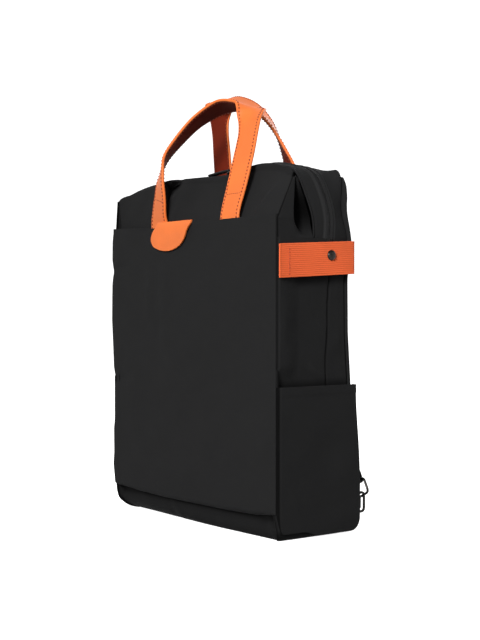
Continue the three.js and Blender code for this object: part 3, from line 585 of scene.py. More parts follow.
def tube_faces(count, sides, closed=False):
    """Faces of a skin through rings of points, an open one capped at both ends."""
    index = np.arange(count * sides).reshape(count, sides)
    edges = np.stack([index, np.roll(index, -1, axis=1)], -1)
    quads = np.concatenate([edges, np.roll(edges, -1, axis=0)[..., ::-1]], -1)
    if closed:
        return quads.reshape(-1, 4).tolist()
    return quads[:-1].reshape(-1, 4).tolist() + [index[0, ::-1].tolist(), index[-1].tolist()]


def tube(name, rings, closed=False):
    """A skin through rings of points."""
    girth = np.linalg.norm(rings - np.roll(rings, -1, axis=1), axis=-1).mean(0)
    uvs = uv_pairs(girth[:-1], lengths(rings.mean(1)))
    obj = mesh_object(name, rings.reshape(-1, 3), tube_faces(*rings.shape[:2], closed), uvs)
    mended = bmesh.new()
    mended.from_mesh(obj.data)
    bmesh.ops.recalc_face_normals(mended, faces=mended.faces)
    mended.to_mesh(obj.data)
    mended.free()
    return obj


def circles(middle, first, second, radius, sides):
    """A ring of points round each point of a line, in the plane of two directions."""
    turn = np.linspace(0, 2 * math.pi, sides, endpoint=False)[:, None]
    ring = np.atleast_2d(first)[:, None] * np.cos(turn) + np.atleast_2d(second)[:, None] * np.sin(turn)
    return middle[:, None] + np.reshape(radius, (-1, 1, 1)) * ring


def wire(name, path, radius, sides=12):
    """Round wire along a closed path of points."""
    along = unit(np.roll(path, -1, axis=0) - np.roll(path, 1, axis=0))
    flat = unit(np.cross(path[1] - path[0], path[len(path) // 3] - path[0]))
    out = unit(np.cross(along, flat))
    return tube(name, circles(path, out, flat, radius, sides), closed=True)


def lathe(name, profile, centre, axis, sides=32, least=0.05):
    """A turned piece from (distance along the axis, radius) rows, with no radius under the least."""
    along, radius = np.array(profile, float).T
    axis = unit(np.asarray(axis, float))
    side = unit(np.cross(axis, (0, 0, 1)))
    middle = centre + axis * along[:, None]
    return tube(name, circles(middle, side, np.cross(axis, side), np.maximum(radius, least), sides))


def stitches(name, line, out, kind):
    """A row of stitches of a kind along a line of points: short rods that dip at both ends."""
    pitch, length, radius = kind
    run = running(lengths(line))
    spots = np.linspace(0, 1, 5)
    arch = np.sin(spots * math.pi)
    sides = 6
    rod = tube_faces(len(spots), sides)
    points = []
    faces = []
    for start in np.arange(pitch / 2, run[-1] - length, pitch):
        place = start + spots * length
        middle, up = (np.stack([np.interp(place, run, c) for c in values.T], -1) for values in (line, out))
        up = unit(up)
        side = unit(np.cross(up, np.gradient(middle, axis=0)))
        middle = middle + up * (radius * (arch - STITCH_SUNK))[:, None]
        faces += [[len(points) + corner for corner in face] for face in rod]
        rings = circles(middle, side, up, radius * lerp(STITCH_END, 1, arch), sides)
        points += rings.reshape(-1, 3).tolist()
    return mesh_object(name, points, faces)


def joined(name, parts):
    """One object from several."""
    with bpy.context.temp_override(active_object=parts[0], selected_editable_objects=parts):
        bpy.ops.object.join()
    parts[0].name = name
    parts[0].data.name = name
    return parts[0]


def feed(tree, socket, value):
    """Links another node's output to a socket, or sets a constant on it."""
    if isinstance(value, bpy.types.NodeSocket):
        tree.links.new(value, socket)
    else:
        socket.default_value = value


def fill_in(tree, made, **inputs):
    """Feeds inputs of a shader node, by name with spaces as underscores."""
    for key, value in inputs.items():
        feed(tree, made.inputs[key.replace("_", " ")], value)
    return made


def node(tree, kind, **inputs):
    """A new shader node with some of its inputs set or linked."""
    return fill_in(tree, tree.nodes.new("ShaderNode" + kind), **inputs)


def new_material(name):
    material = bpy.data.materials.new(name)
    material.use_nodes = True
    tree = material.node_tree
    return material, tree, tree.nodes["Principled BSDF"]


def coordinates(tree, space):
    return node(tree, "TexCoord").outputs[space]


def noise(tree, coords, scale, detail=3.0):
    return node(tree, "TexNoise", Vector=coords, Scale=scale, Detail=detail).outputs["Fac"]


def ranged(tree, value, low, high, from_low=NOISE_RANGE[0], from_high=NOISE_RANGE[1]):
    """A value moved into another range."""
    made = node(tree, "MapRange", Value=value, To_Min=low, To_Max=high, From_Min=from_low, From_Max=from_high)
    return made.outputs["Result"]


def two_tone(tree, value, colour, dark, light):
    """A colour that runs from a darker to a lighter share of itself with a value."""
    ramp = node(tree, "ValToRGB", Fac=value)
    for element, position, share in zip(ramp.color_ramp.elements, NOISE_RANGE, (dark, light)):
        element.position = position
        element.color = (*(c * share for c in colour), 1)
    return ramp.outputs["Color"]


def math_node(tree, operation, *values):
    made = node(tree, "Math")
    made.operation = operation
    for value, socket in zip(values, made.inputs):
        feed(tree, socket, value)
    return made.outputs["Value"]


def mixed(tree, a, share_a, b, share_b):
    """The sum of two values, each by its share."""
    return math_node(tree, "MULTIPLY_ADD", b, share_b, math_node(tree, "MULTIPLY", a, share_a))


def bands(tree, coords, pitch, direction):
    """Ridges with the given pitch, in the units of the coordinates."""
    scale = math.pi / (10 * pitch)
    made = node(tree, "TexWave", Vector=coords, Scale=scale, Distortion=0.4, Detail=1.0)
    made.bands_direction = direction
    return made.outputs["Fac"]


def bump(tree, height, strength, distance):
    return node(tree, "Bump", Height=height, Strength=strength, Distance=distance).outputs["Normal"]


def woven(name, colour, pitch, rough=0.86, sheen=0.012, contrast=0.16, relief=0.00012, specular=0.05):
    """Woven cloth: threads both ways, uneven colour and a dull sheen, on coordinates in millimetres."""
    material, tree, shader = new_material(name)
    source = coordinates(tree, "UV")
    patches = noise(tree, source, 0.02)
    fleck = noise(tree, source, 0.9, 2.0)
    fold_shade = node(tree, "Attribute")
    fold_shade.attribute_name = "fold_shade"
    tone = two_tone(tree, mixed(tree, patches, 0.5, fleck, 0.5), colour, 1 - contrast, 1 + contrast)
    darkened = node(tree, "VectorMath")
    darkened.operation = "SCALE"
    fill_in(tree, darkened, Vector=tone, Scale=fold_shade.outputs["Fac"])
    threads = math_node(tree, "MAXIMUM", bands(tree, source, pitch, "X"), bands(tree, source, pitch, "Y"))
    fill_in(
        tree,
        shader,
        Base_Color=darkened.outputs["Vector"],
        Roughness=ranged(tree, patches, rough - 0.06, rough + 0.06),
        Normal=bump(tree, mixed(tree, threads, 1.0, fleck, 0.8), 0.5, relief),
        Sheen_Weight=sheen,
        Sheen_Roughness=0.5,
        Sheen_Tint=(0.5, 0.5, 0.52, 1),
        Specular_IOR_Level=specular,
    )
    return material


def leather(name, colour, rough=0.5, specular=0.14):
    """Smooth dyed leather: fine grain, soft colour patches and a satin surface."""
    material, tree, shader = new_material(name)
    source = coordinates(tree, "Object")
    patches = noise(tree, source, 28, 4.0)
    pores = noise(tree, source, 900)
    cells = node(tree, "TexVoronoi", Vector=source, Scale=700.0).outputs["Distance"]
    fill_in(
        tree,
        shader,
        Base_Color=two_tone(tree, mixed(tree, patches, 0.7, pores, 0.3), colour, 0.88, 1.08),
        Roughness=ranged(tree, patches, rough - 0.08, rough + 0.08),
        Normal=bump(tree, mixed(tree, cells, 1.0, pores, 0.6), 0.35, 0.00012),
        Specular_IOR_Level=specular,
    )
    return material


def metal(name, colour, rough=0.28):
    """Dark plated metal with faint wear."""
    material, tree, shader = new_material(name)
    source = coordinates(tree, "Object")
    patches = noise(tree, source, 300, 4.0)
    tone = two_tone(tree, patches, colour, 0.75, 1.4)
    worn = ranged(tree, patches, rough - 0.06, rough + 0.12)
    fill_in(tree, shader, Base_Color=tone, Roughness=worn, Metallic=1.0)
    return material


def plain_thread(name, colour):
    """Twisted sewing thread."""
    material, tree, shader = new_material(name)
    source = coordinates(tree, "Object")
    twist = noise(tree, source, 1500, 2.0)
    fill_in(tree, shader, Base_Color=two_tone(tree, twist, colour, 0.7, 1.25), Roughness=0.7)
    return material


CANVAS = woven("black_canvas", BLACK, 0.8)
TAPE = woven("black_tape", TAPE_BLACK, 0.9, rough=0.6, specular=0.12)
WEBBING = woven("coral_webbing", CORAL, 1.1, rough=0.75, sheen=0.02, contrast=0.1, relief=0.0002)
LEATHER = leather("orange_leather", ORANGE)
# Inner face of the handles: lining leather, darkened further as painted shade
LEATHER_BACK_AND_SHADE = leather("leather_lining_and_shade", LINING_AND_SHADE, rough=0.75, specular=0.04)
METAL = metal("gunmetal", GUNMETAL)
ORANGE_THREAD = plain_thread("orange_thread", THREAD)
CORAL_THREAD = plain_thread("coral_thread", CORAL_STITCH)
BLACK_THREAD = plain_thread("black_thread", DARK_THREAD)


def dress(obj, material, slot, *nodes):
    """Gives a piece its material and its place on the body, and hides the solids that it stands for."""
    obj.data.materials.clear()
    obj.data.materials.append(material)
    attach(obj, "root")
    if nodes:
        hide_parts(*nodes)
    return obj


def sewn_panel(name, grid, shade=1.0, thickness=CLOTH, bevel=CLOTH_BEVEL, material=CANVAS, slot="cloth"):
    """A sewn panel: a shell on its grid, in its material."""
    obj = dress(shell(name, grid, thickness, bevel, shade), material, slot, name)


def other_side(grid, sign):
    """A grid made for the right side, mirrored for the left one."""
    return grid if sign > 0 else grid[:, ::-1] * np.array([-1, 1, 1])


def side_half(height, rounding=SIDE_ROUND, dish_foot=DISH_FOOT):
    """Half width of the side panels' outer face by height."""
    dish = between(height, dish_foot, DISH_TOP)
    return lerp(SIDE_HALF, DISHED_HALF, dish) - drawn_in(rounding, height)


def left_round(depth):
    """Radius of the left side's bottom edge, which is slack towards the front."""
    return lerp(SLACK_SIDE, SIDE_ROUND, ease(depth, *SLACK_DEPTHS))


def side_face(height, depth, sign):
    """Half width of one side panel's outer face, which is slack on the left."""
    return side_half(height) if sign > 0 else side_half(height, left_round(depth), SLACK_DISH)


def front_round(x):
    """Radius of the front's bottom edge, which is slack on the left."""
    return lerp(SLACK_ROUND, FRONT_ROUND, ease(x, *SLACK_WIDTHS))


def front_depth(x, height):
    """Depth of the front panel's outer face below the pocket's lip."""
    return lerp(FRONT_FOOT_DEPTH, FRONT_DEPTH, ease(height, *FRONT_FOOT)) + drawn_in(front_round(x), height)


def seam_height(x):
    top = ZIP["height"] > ZIP_TOP
    return np.interp(x, ZIP["x"][top], ZIP["height"][top])


def ridge_shares(ridge):
    """Half width of the ridge on each column's own side, and the column's share of it."""
    half = np.where(ridge["x"] < 0, LEFT_RIDGE_HALF, RIGHT_RIDGE_HALF)
    return half, ridge["x"] / half


def upper_front(ridge, rise):
    """Upper front panel: columns of the ridge table by rise, from 0 at the pocket to 1 at the zip's seam."""
    ridge_half, share = ridge_shares(ridge)
    shoulder = ridge["height"] - CROWN
    low = rise / SHOULDER_SHARE
    high = (rise - SHOULDER_SHARE) / (1 - SHOULDER_SHARE)

    def bend(a, b, c):
        return (1 - high) ** 2 * a + 2 * high * (1 - high) * b + high**2 * c

    below = rise < SHOULDER_SHARE
    half = np.where(below, lerp(PANEL_HALF, ridge_half, low), lerp(ridge_half, SEAM_HALF, high))
    curve = bend(ridge["depth"], ridge["depth"], SEAM_DEPTH)
    depth = np.where(below, lerp(FRONT_DEPTH, ridge["depth"], low), curve)
    curve = bend(shoulder, ridge["height"] + 1, seam_height(ridge["x"]))
    height = np.where(below, lerp(LEAN_START, shoulder, low), curve)
    return share * half, depth, height


def front_panel():
    ridge = resample(RIDGE, 14)
    share = ridge_shares(ridge)[1]
    arc = FLOOR_GAP + SLACK_ROUND * quarter(12)[0]
    heights = np.concatenate([arc, np.linspace(*FRONT_FOOT_ROWS), np.linspace(*FRONT_ROWS)])[:, None]
    left_half = side_half(heights, SLACK_SIDE, SLACK_DISH)
    x = share * (np.where(share < 0, left_half, side_half(heights)) - CLOTH - 2 * SEAM_GAP)
    curl = CORNER_CURL * ease(np.abs(share), *CURL_SHARES) * fade(heights, *CURL_END)
    low = at(x, front_depth(x, heights) + curl, heights)
    low = displaced(low, folds(x, heights, FOOT_FOLDS) * fade(heights, *FOOT_FOLDS_END))
    rise = np.linspace(0, 1, 72)[:, None]
    x, depth, height = upper_front(ridge, rise)
    calm = between(rise, *UPPER_CALM) * fade(np.abs(share), *UPPER_CALM_SIDE)
    uneven = folds(x, height, UPPER_FOLDS) + waves(x, height, *UPPER_WAVES)
    high = displaced(at(x, depth, height), calm * uneven)
    end = lerp(*PLEAT_ENDS, ease(height, *PLEAT_SPREAD))
    pleat = ease(x, *PLEAT_START) * fade(x, end, end + PLEAT_FADE)
    pleat = pleat * ease(height, *PLEAT_RISE) * fade(rise, *UPPER_CALM[1])
    high = displaced(high, -PLEAT_DEPTH * pleat)
    foot_shade = lerp(*FOOT_SHADES, ease(heights, *FOOT_SHADE_RISE))
    foot_shade = foot_shade * (1 - UNDER_POCKET_DARK * ease(heights, *UNDER_POCKET)) + 0 * share
    upper_shade = (1 - PLEAT_DARK * pleat) * seam_shade((1 - share) * RIGHT_RIDGE_HALF)
    sewn_panel("front_panel", np.concatenate([low, high]), np.concatenate([foot_shade, upper_shade]))


def front_pocket():
    across = np.linspace(0, 1, 150)[None]
    share = across - POCKET_CROWDING * np.sin(2 * math.pi * across) / (2 * math.pi)
    foot, inset = quarter(8)
    rise = np.linspace(0, 1, 120)[1:]
    tuck = np.concatenate([inset, 0 * rise])[:, None]
    climb = np.concatenate([0 * foot, rise])[:, None]
    round_up = POCKET_FOOT_ROUND * np.concatenate([foot, np.ones(len(rise))])[:, None]
    left = read(LEFT_EDGE, "height", lerp(LEFT_EDGE["height"][0] + round_up, LIP["height"][0], climb), "x")
    x = lerp(left, POCKET_RIGHT, share)
    lip = read(LIP, "x", x, "height")
    z = lerp(read(POCKET_LOW, "x", x, "height") + round_up, lip, climb)
    edge = np.minimum(x - left, POCKET_RIGHT - x)
    wrap = POCKET_WRAP_DEPTH * drawn_in(POCKET_WRAP, edge, 0) / POCKET_WRAP
    depth = wrap + POCKET_FOOT_DEPTH * tuck * ease(edge, *POCKET_FOOT_EDGE)
    tab_calm = TAB_CALM * hump(x, *TAB_REACH) * ease(z, *TAB_HEIGHTS)
    calm = ease(edge, *POCKET_CALM_EDGE) * ease(z, *POCKET_CALM_FOOT) * (1 - tab_calm)
    lift = folds(x, z, POCKET_FOLDS) * ease(edge, *POCKET_FOLDS_EDGE) * fade(z, *POCKET_FOLDS_END)
    lift = lift + calm * sum(waves(x, z, *row) for row in POCKET_WAVES)
    hem = LIP_HEM * hump(lip - z, 0, LIP_HEM_WIDTH) * climb
    sewn_panel("front_pocket", displaced(at(x, depth, z), lift + hem), seam_shade(POCKET_RIGHT - x))


def pocket_tab():
    rows = {key: values[::-1, None] for key, values in resample(TAB, 8).items()}
    grid = at(rows["centre"] + rows["half"] * np.linspace(-1, 1, 33), rows["depth"], rows["height"])
    dress(shell("pocket_tab", grid, TAB_THICK, TAB_BEVEL), LEATHER, "leather", "pocket_tab")


def side_wall(sign, share, curl):
    """Side panel below its gusset, made for the right side, and its fold shade."""
    arc = FLOOR_GAP + SIDE_ROUND * quarter(9)[0]
    heights = np.concatenate([arc, np.linspace(*SIDE_FOOT_ROWS), np.linspace(*SIDE_ROWS)])[:, None]
    foot = front_depth(sign * SIDE_HALF, np.minimum(heights, FRONT_FOOT[0])) - FRONT_FOOT_DEPTH
    below = np.clip(FLOOR_GAP + BACK_ROUND - heights, 0, None)
    middle = read(BACK, "height", heights, "depth") - BACK_ROUND
    inner = np.sqrt(np.clip((BACK_ROUND - BACK_PAD) ** 2 - below**2, 0, None))
    depth = lerp(SIDE_FRONT + foot, middle + inner - 2 * SEAM_GAP, share)
    half = side_face(heights, depth, sign)
    roll = (SIDE_HALF - half) * fade(depth, *ROLL_DEPTHS) * ease(heights, *ROLL_HEIGHTS)
    line = read(SIDE_SEAM, "height", heights, "depth")
    seam = hump(depth, line, SIDE_SEAM_WIDTH) * ease(heights, *SIDE_SEAM_START)
    calm = between(share, *SIDE_CALM) * between(heights, *SIDE_CALM_HEIGHTS)
    uneven = folds(depth, heights, SIDE_FOLDS) + waves(depth, heights, *SIDE_WAVES)
    grid = displaced(at(half + roll - curl, depth, heights), calm * uneven - SIDE_SEAM_SUNK * seam)
    shade = seam_shade(share * SIDE_RUN) * (1 - SIDE_SEAM_DARK * seam)
    shade = shade * lerp(SIDE_FOOT_SHADE, 1, ease(heights, *SIDE_FOOT_RISE))
    return grid, shade * (1 - RIM_DARK * between(heights, *RIM_SHADOW))


def gusset(sign, share, curl, ridge, fold):
    """Side panel above the side strap, folded in by the fold's depth, and its fold shade."""
    t = np.linspace(0, 1, 60)[:, None]
    shoulder = ridge["height"] - CROWN
    height = lerp(GUSSET_LOW + GUSSET_STEP, shoulder, t)
    lean = np.clip(height - LEAN_START, 0, None) / (shoulder - LEAN_START)
    seam_depth = lerp(SIDE_FRONT, ridge["depth"] - CLOTH + SEAM_GAP, lean)
    seam_x = SIDE_HALF
    if sign > 0:
        seam_x = lerp(PANEL_HALF, RIGHT_RIDGE_HALF, lean) + SIDE_HALF - PANEL_HALF
    zip_rows = {key: np.abs(values[ZIP_SIDE_ROWS]) for key, values in ZIP.items()}
    zip_x = read(zip_rows, "height", height, "x")
    zip_front = read(zip_rows, "height", height, "front") - 2 * SEAM_GAP
    swell = np.sin(math.pi * t) ** GUSSET_SWELL
    tuck = FOLD_TUCK * swell if fold else 0
    end_x = lerp(SIDE_HALF, zip_x, np.minimum(t / GUSSET_JOIN, 1)) - tuck
    lead = np.clip(share - FOLD_START, 0, None) / (FOLD_VALLEY - FOLD_START)
    inward = np.where(share < FOLD_VALLEY, lead**FOLD_CURVE, (1 - share) / (1 - FOLD_VALLEY))
    x = lerp(seam_x, end_x, share) - fold * swell * inward - curl
    deep = ease(share, *FOLD_SHADOW) * swell if fold else 0
    shade = seam_shade(share * GUSSET_RUN) * (1 - FOLD_DARK * deep) + 0 * x
    return at(x, lerp(seam_depth, zip_front, share), height), shade


def side_panel(name, sign, ridge_row, fold):
    """Side panel with its gusset, made for the right side and mirrored for the left one."""
    ridge = {key: abs(values[ridge_row]) for key, values in RIDGE.items()}
    share = np.linspace(0, 1, 96)[None]
    curl = CORNER_CURL * fade(share, *SIDE_CURL)
    low, low_shade = side_wall(sign, share, curl)
    high, high_shade = gusset(sign, share, curl, ridge, fold)
    grid = other_side(np.concatenate([low, high]), sign)
    sewn_panel(name, grid, np.concatenate([low_shade, high_shade])[:, ::sign])


def points_of(mesh):
    """The points of a mesh as an array, in metres."""
    points = np.zeros(len(mesh.vertices) * 3, np.float32)
    mesh.vertices.foreach_get("co", points)
    return points.reshape(-1, 3)


def filled(obj, free, cap):
    """Fills a pad by a cloth simulation: its free points move back by the cap at most, in millimetres."""
    held = obj.vertex_groups.new(name="held")
    held.add(np.flatnonzero(~free).tolist(), 1.0, "REPLACE")
    cloth = obj.modifiers.new("filling", "CLOTH")
    cloth.settings.vertex_group_mass = "held"
    cloth.settings.use_pressure = True
    cloth.settings.uniform_pressure_force = FILL_PRESSURE
    cloth.settings.effector_weights.gravity = 0
    for step in range(1, FILL_STEPS + 1):
        bpy.context.scene.frame_set(step)
    points = points_of(obj.data)
    swell = points_of(obj.evaluated_get(bpy.context.evaluated_depsgraph_get()).data)[:, 1] - points[:, 1]
    points[:, 1] += cap * MM * np.tanh(np.clip(swell, 0, None) / (cap * MM))
    obj.modifiers.clear()
    obj.vertex_groups.clear()
    obj.data.vertices.foreach_set("co", points.ravel())
    obj.data.update()
    bpy.context.scene.frame_set(1)


def waist(height):
    """How far the back draws in above its side straps."""
    return WAIST * hump(height, *WAIST_PLACE)


def back_half(height):
    """Half width of the back panel by height, with its soft waist."""
    upper = read(BACK_SHOULDER, "height", height, "half") - waist(height)
    return np.where(height < GUSSET_LOW, side_half(height), upper)


def back_face(x, height):
    """Outer face of the back panel before it is filled: sunk within its rim."""
    rim = np.minimum(back_half(height) - np.abs(x), BACK["height"][-1] - height)
    return read(BACK, "height", height, "depth") - PAD_SUNK * ease(rim, *PAD_RIM) * ease(height, *PAD_FOOT)


def back_panel():
    """Padded back: its sewn lines are held while the face between them is filled."""
    foot, inset = quarter(8)
    face = np.linspace(BACK_FACE_LOW, BACK["height"][-1], 108)
    heights = np.concatenate([FLOOR_GAP + BACK_ROUND * foot, face])[:, None]
    inset = np.concatenate([BACK_ROUND * inset, 0 * face])[:, None]
    x = np.linspace(1, -1, 111)[None] * back_half(heights)
    grid = at(x, back_face(x, heights) - inset, heights)
    obj = shell("back_panel", grid, BACK_PAD - PAD_SUNK, bevel=0)
    low, high = PAD_SEAM_HEIGHTS
    rim = back_half(heights) - np.abs(x)
    off_channel = np.abs(np.abs(x) - PAD_CHANNEL) > PAD_CHANNEL_HALF
    free = (rim > PAD_SEAM) & (heights > low) & (heights < high) & off_channel
    filled(obj, np.concatenate([free.ravel(), np.zeros(free.size, bool)]), PAD_SUNK)
    rounded(obj, BACK_BEVEL)
    climb = np.linspace(low, high, 120)
    out = np.tile([0.0, 1.0, 0.0], (len(climb), 1))
    rows = []
    for sign in (1, -1):
        for half in (back_half(climb) - PAD_SEAM, np.full(len(climb), PAD_CHANNEL)):
            path = at(sign * half, back_face(sign * half, climb), climb)
            rows.append(stitches(f"pad_row_{len(rows)}", path, out, PAD_STITCH))
    dress(joined("back_panel_stitching", rows), BLACK_THREAD, "cloth")
    dress(obj, CANVAS, "cloth", "back_panel")


def base_panel():
    half = side_half(FLOOR_GAP) - SEAM_GAP
    share = np.linspace(-1, 1, 90)[None]
    x = share * half
    corner = drawn_in(BACK_ROUND, half - np.abs(x), 0)
    front = FRONT_FOOT_DEPTH + front_round(x) + SEAM_GAP + corner
    back = BACK["depth"][0] - BACK_ROUND - SEAM_GAP - corner
    depth = lerp(back, front, np.linspace(0, 1, 24)[:, None])
    left = side_half(FLOOR_GAP, left_round(depth)) - SEAM_GAP
    grid = at(np.where(x < 0, share * left, x), depth, 0.0)
    sewn_panel("base_panel", grid, thickness=BASE_PLATE, bevel=BAND_BEVEL)


def zip_path():
    """Columns of the zipped top, the middle of its tape, and the direction of its path in x and height."""
    columns = resample(ZIP, 8)
    middle = (columns["tape_front"] + columns["tape_back"]) / 2
    along = unit(np.stack([np.gradient(columns["x"]), np.gradient(columns["height"])], -1))
    return columns, middle, along


def zip_points(depth, rise):
    """Points of the zipped top, from depths and rises above its path."""
    columns, _, along = zip_path()
    return at(columns["x"] - along[:, 1] * rise, depth, columns["height"] + along[:, 0] * rise)


def sewn_ridges(share, rows):
    """Height of the ridges and grooves that run along a band, from (out, place, width) rows."""
    return sum(out * hump(share, place, width) for out, place, width in rows)


def zipped_top():
    columns, middle, along = zip_path()
    tape_front, tape_back, back, drop = (columns[key] for key in ("tape_front", "tape_back", "back", "drop"))
    flat = 0 * middle
    s = np.linspace(0, 1, 24)[:, None]
    depth = np.vstack([lerp(columns["front"], tape_front - SEAM_GAP, s), tape_front + STRIP_TUCK])
    rise = np.vstack([flat + STRIP_RISE * s + sewn_ridges(s, FRONT_STRIP_RIDGES), flat - STRIP_SUNK])
    sewn_panel("zip_strip_front", zip_points(depth, rise), bevel=BAND_BEVEL)
    s = np.linspace(0, 1, 36)[:, None]
    rise = flat + TAPE_RISE + TAPE_CROWN * (1 - (2 * s - 1) ** 2) + sewn_ridges(s, TAPE_RIDGES)
    grid = zip_points(lerp(tape_front, tape_back, s), rise)
    sewn_panel("zip_tape", grid, 1.0, TAPE_THICK, BAND_BEVEL, TAPE, "tape")
    s = np.linspace(0, 1, 26)[:, None]
    rise = lerp(STRIP_RISE, -drop, s**2) + sewn_ridges(s, BACK_STRIP_RIDGES) - s * waist(columns["height"])
    depth = lerp(tape_back + SEAM_GAP, back, s)
    depth = np.vstack([tape_back - STRIP_TUCK, depth, back - BACK_HEM_IN])
    rise = np.vstack([flat - STRIP_SUNK, rise, -drop - BACK_HEM])
    sewn_panel("zip_strip_back", zip_points(depth, rise), bevel=BAND_BEVEL)
    line = zip_points(middle, TAPE_RISE + TAPE_CROWN)
    out = np.stack([-along[:, 1], flat, along[:, 0]], -1)
    coils = [
        stitches(f"zip_coil_{k}", line + np.array([0, shift, 0]), out, COIL_TURN)
        for k, shift in enumerate((-COIL_SHIFT, COIL_SHIFT))
    ]
    dress(joined("zip_coil", coils), TAPE, "tape")


def strap_frames(tab, steps):
    """Middle line of a strap, its width and face directions, and its resampled table."""
    s = resample(tab, steps)
    middle = at(s["x"], s["depth"], s["height"])
    along = unit(np.gradient(middle, axis=0))
    turn = np.radians(s.get("turn", np.zeros(len(middle))))
    lean = np.radians(s.get("lean", np.zeros(len(middle))))
    width = np.stack([np.cos(turn), np.sin(turn) * np.cos(lean), -np.sin(turn) * np.sin(lean)], -1)
    width = unit(width - along * (width * along).sum(-1, keepdims=True))
    return middle, width, np.cross(along, width), s


def strap_section(wide, thick, groove=0.0, inset=SEWN_INSET, count=25):
    """Rounded flat section, as (across, out) pairs, with a sewn channel near each edge of both faces."""
    across = -np.cos(np.linspace(0, math.pi, count)) * wide / 2
    edge = np.clip(1 - (wide / 2 - np.abs(across)) / (thick * SECTION_ROUND), 0, 1)
    face = thick / 2 * np.sqrt(np.clip(1 - edge**2, SECTION_BLUNT, 1))
    face = face - groove * hump(np.abs(across), wide / 2 - inset, GROOVE_WIDTH)
    top = np.stack([across, face], -1)
    return np.concatenate([top, top[-2:0:-1] * (1, -1)])


def swept(middle, width, face, section, taper=1.0):
    """Rings of a strap: its section at each point of its middle line."""
    return middle[:, None] + width[:, None] * section[:, :1] * taper + face[:, None] * section[:, 1:]


def handle(name, tab):
    """Leather strap with a darker inner face (part lining, part painted shade), two sewn edges and a sewn
    line across each leg.
    """
    middle, width, face, s = strap_frames(tab, 10)
    columns = 41
    section = strap_section(HANDLE_WIDTH, HANDLE_THICK, HANDLE_GROOVE, count=columns)
    strap = dress(tube(name, swept(middle, width, face, section)), LEATHER, "leather", name)
    strap.data.materials.append(LEATHER_BACK_AND_SHADE)
    for polygon in strap.data.polygons:
        corner = min(v % len(section) for v in polygon.vertices)
        within = columns + 4 <= corner < len(section) - 5
        polygon.material_index = int(len(polygon.vertices) == 4 and within)
    inset = HANDLE_WIDTH / 2 - SEWN_INSET
    half = len(middle) // 2
    legs = (np.argmin(np.abs(s["height"][:half] - HANDLE_SEAMS[0])),
            half + np.argmin(np.abs(s["height"][half:] - HANDLE_SEAMS[1])))
    across = np.linspace(-inset, inset, 20)[:, None]
    rows = []
    for j, side in enumerate((1, -1)):
        lift = face * side * (HANDLE_THICK / 2 - HANDLE_STITCH_SUNK)
        for k, shift in enumerate((-inset, inset)):
            line = middle + width * shift + lift
            rows.append(stitches(f"{name}_row_{k}{j}", line, face * side, EDGE_STITCH))
        for k, leg in enumerate(legs):
            line = (middle + lift)[leg] + width[leg] * across
            out = np.tile(face[leg] * side, (len(across), 1))
            rows.append(stitches(f"{name}_seam_{k}{j}", line, out, LEG_STITCH))
    dress(joined(f"{name}_stitching", rows), ORANGE_THREAD, "leather")


def side_pocket(name, sign):
    foot, inset = quarter(9)
    face = np.linspace(SIDE_POCKET_FACE, SIDE_POCKET_HIGH, 70)
    heights = np.concatenate([SIDE_POCKET_LOW + SIDE_POCKET_FOOT * foot, face])[:, None]
    swell = np.concatenate([1 - inset, np.ones(len(face))])[:, None]
    share = (1 - np.cos(np.linspace(0, math.pi, 90)))[None] / 2
    front = SIDE_POCKET_FRONT + (1 - swell) * SIDE_POCKET_FOOT / 2
    if sign < 0:
        slack = np.clip(SLACK_SIDE - heights, 0, None) ** 2 / (2 * SLACK_POCKET_ROUND)
        front = front + SLACK_POCKET * fade(heights, *SLACK_POCKET_END) + slack
    back = read(BACK, "height", heights, "depth") + SIDE_POCKET_BACK * fade(heights, *SIDE_POCKET_BACK_END)
    depth = lerp(front, back - drawn_in(SIDE_POCKET_CORNER, heights, SIDE_POCKET_LOW), share)
    rim = np.minimum(side_face(heights, depth, sign) + SIDE_POCKET_RIM, SIDE_POCKET_OUT - SIDE_POCKET_EDGE)
    bulge = SIDE_POCKET_BULGE * ease(share, *BULGE_SHARES) * between(heights, *BULGE_HEIGHTS)
    edge = np.abs(2 * share - 1) ** SIDE_POCKET_SQUARE
    x = lerp(rim, SIDE_POCKET_OUT + bulge, swell * np.sqrt(1 - edge))
    z = heights - SIDE_POCKET_SAG * ease(depth, *SAG_DEPTHS) * fade(heights, *SAG_HEIGHTS)
    calm = between(share, *SIDE_POCKET_CALM) * ease(heights, *SIDE_POCKET_CALM_FOOT)
    uneven = folds(depth, heights, SIDE_POCKET_FOLDS) + waves(depth, heights, *SIDE_POCKET_WAVES)
    hem = SIDE_HEM * fade(SIDE_POCKET_HIGH - heights, *SIDE_HEM_EDGE) * ease(share, *SIDE_HEM_SHARES)
    grid = other_side(displaced(at(x, depth, z), calm * uneven + hem), sign)
    sewn_panel(name, grid, seam_shade(depth - front)[:, ::sign])


def side_strap(name, sign):
    """Ribbed webbing across the side, sewn in at the corner seam and at the back."""
    route = resample({key: values[int(sign < 0):] for key, values in STRAP_ROUTE.items()}, 14)
    across = np.linspace(0, 1, STRAP_RIBS * 6 + 1)[:, None]
    height = STRAP_LOW + STRAP_WIDTH * across + STRAP_CLIMB * route["depth"] / BODY_DEPTH
    rib = np.abs(np.sin(math.pi * STRAP_RIBS * across)) + 0 * height
    grid = displaced(at(route["x"], route["depth"], height), RIB_RISE * rib - RIB_SUNK)
    climb = np.linspace(STRAP_LOW + STRAP_MARGIN, STRAP_LOW + STRAP_WIDTH - STRAP_MARGIN, 30)
    line = at(sign * (read(STRAP_ROUTE, "depth", STRAP_SEAM, "x") + STRAP_STITCH_OUT), STRAP_SEAM, climb)
    out = np.tile([float(sign), 0, 0], (len(climb), 1))
    dress(stitches(f"{name}_stitching", line, out, STRAP_STITCH), CORAL_THREAD, "webbing")
    strap = shell(name, other_side(grid, sign), STRAP_THICK, STRAP_BEVEL, lerp(RIB_SHADE, 1, rib))
    dress(strap, WEBBING, "webbing", name)


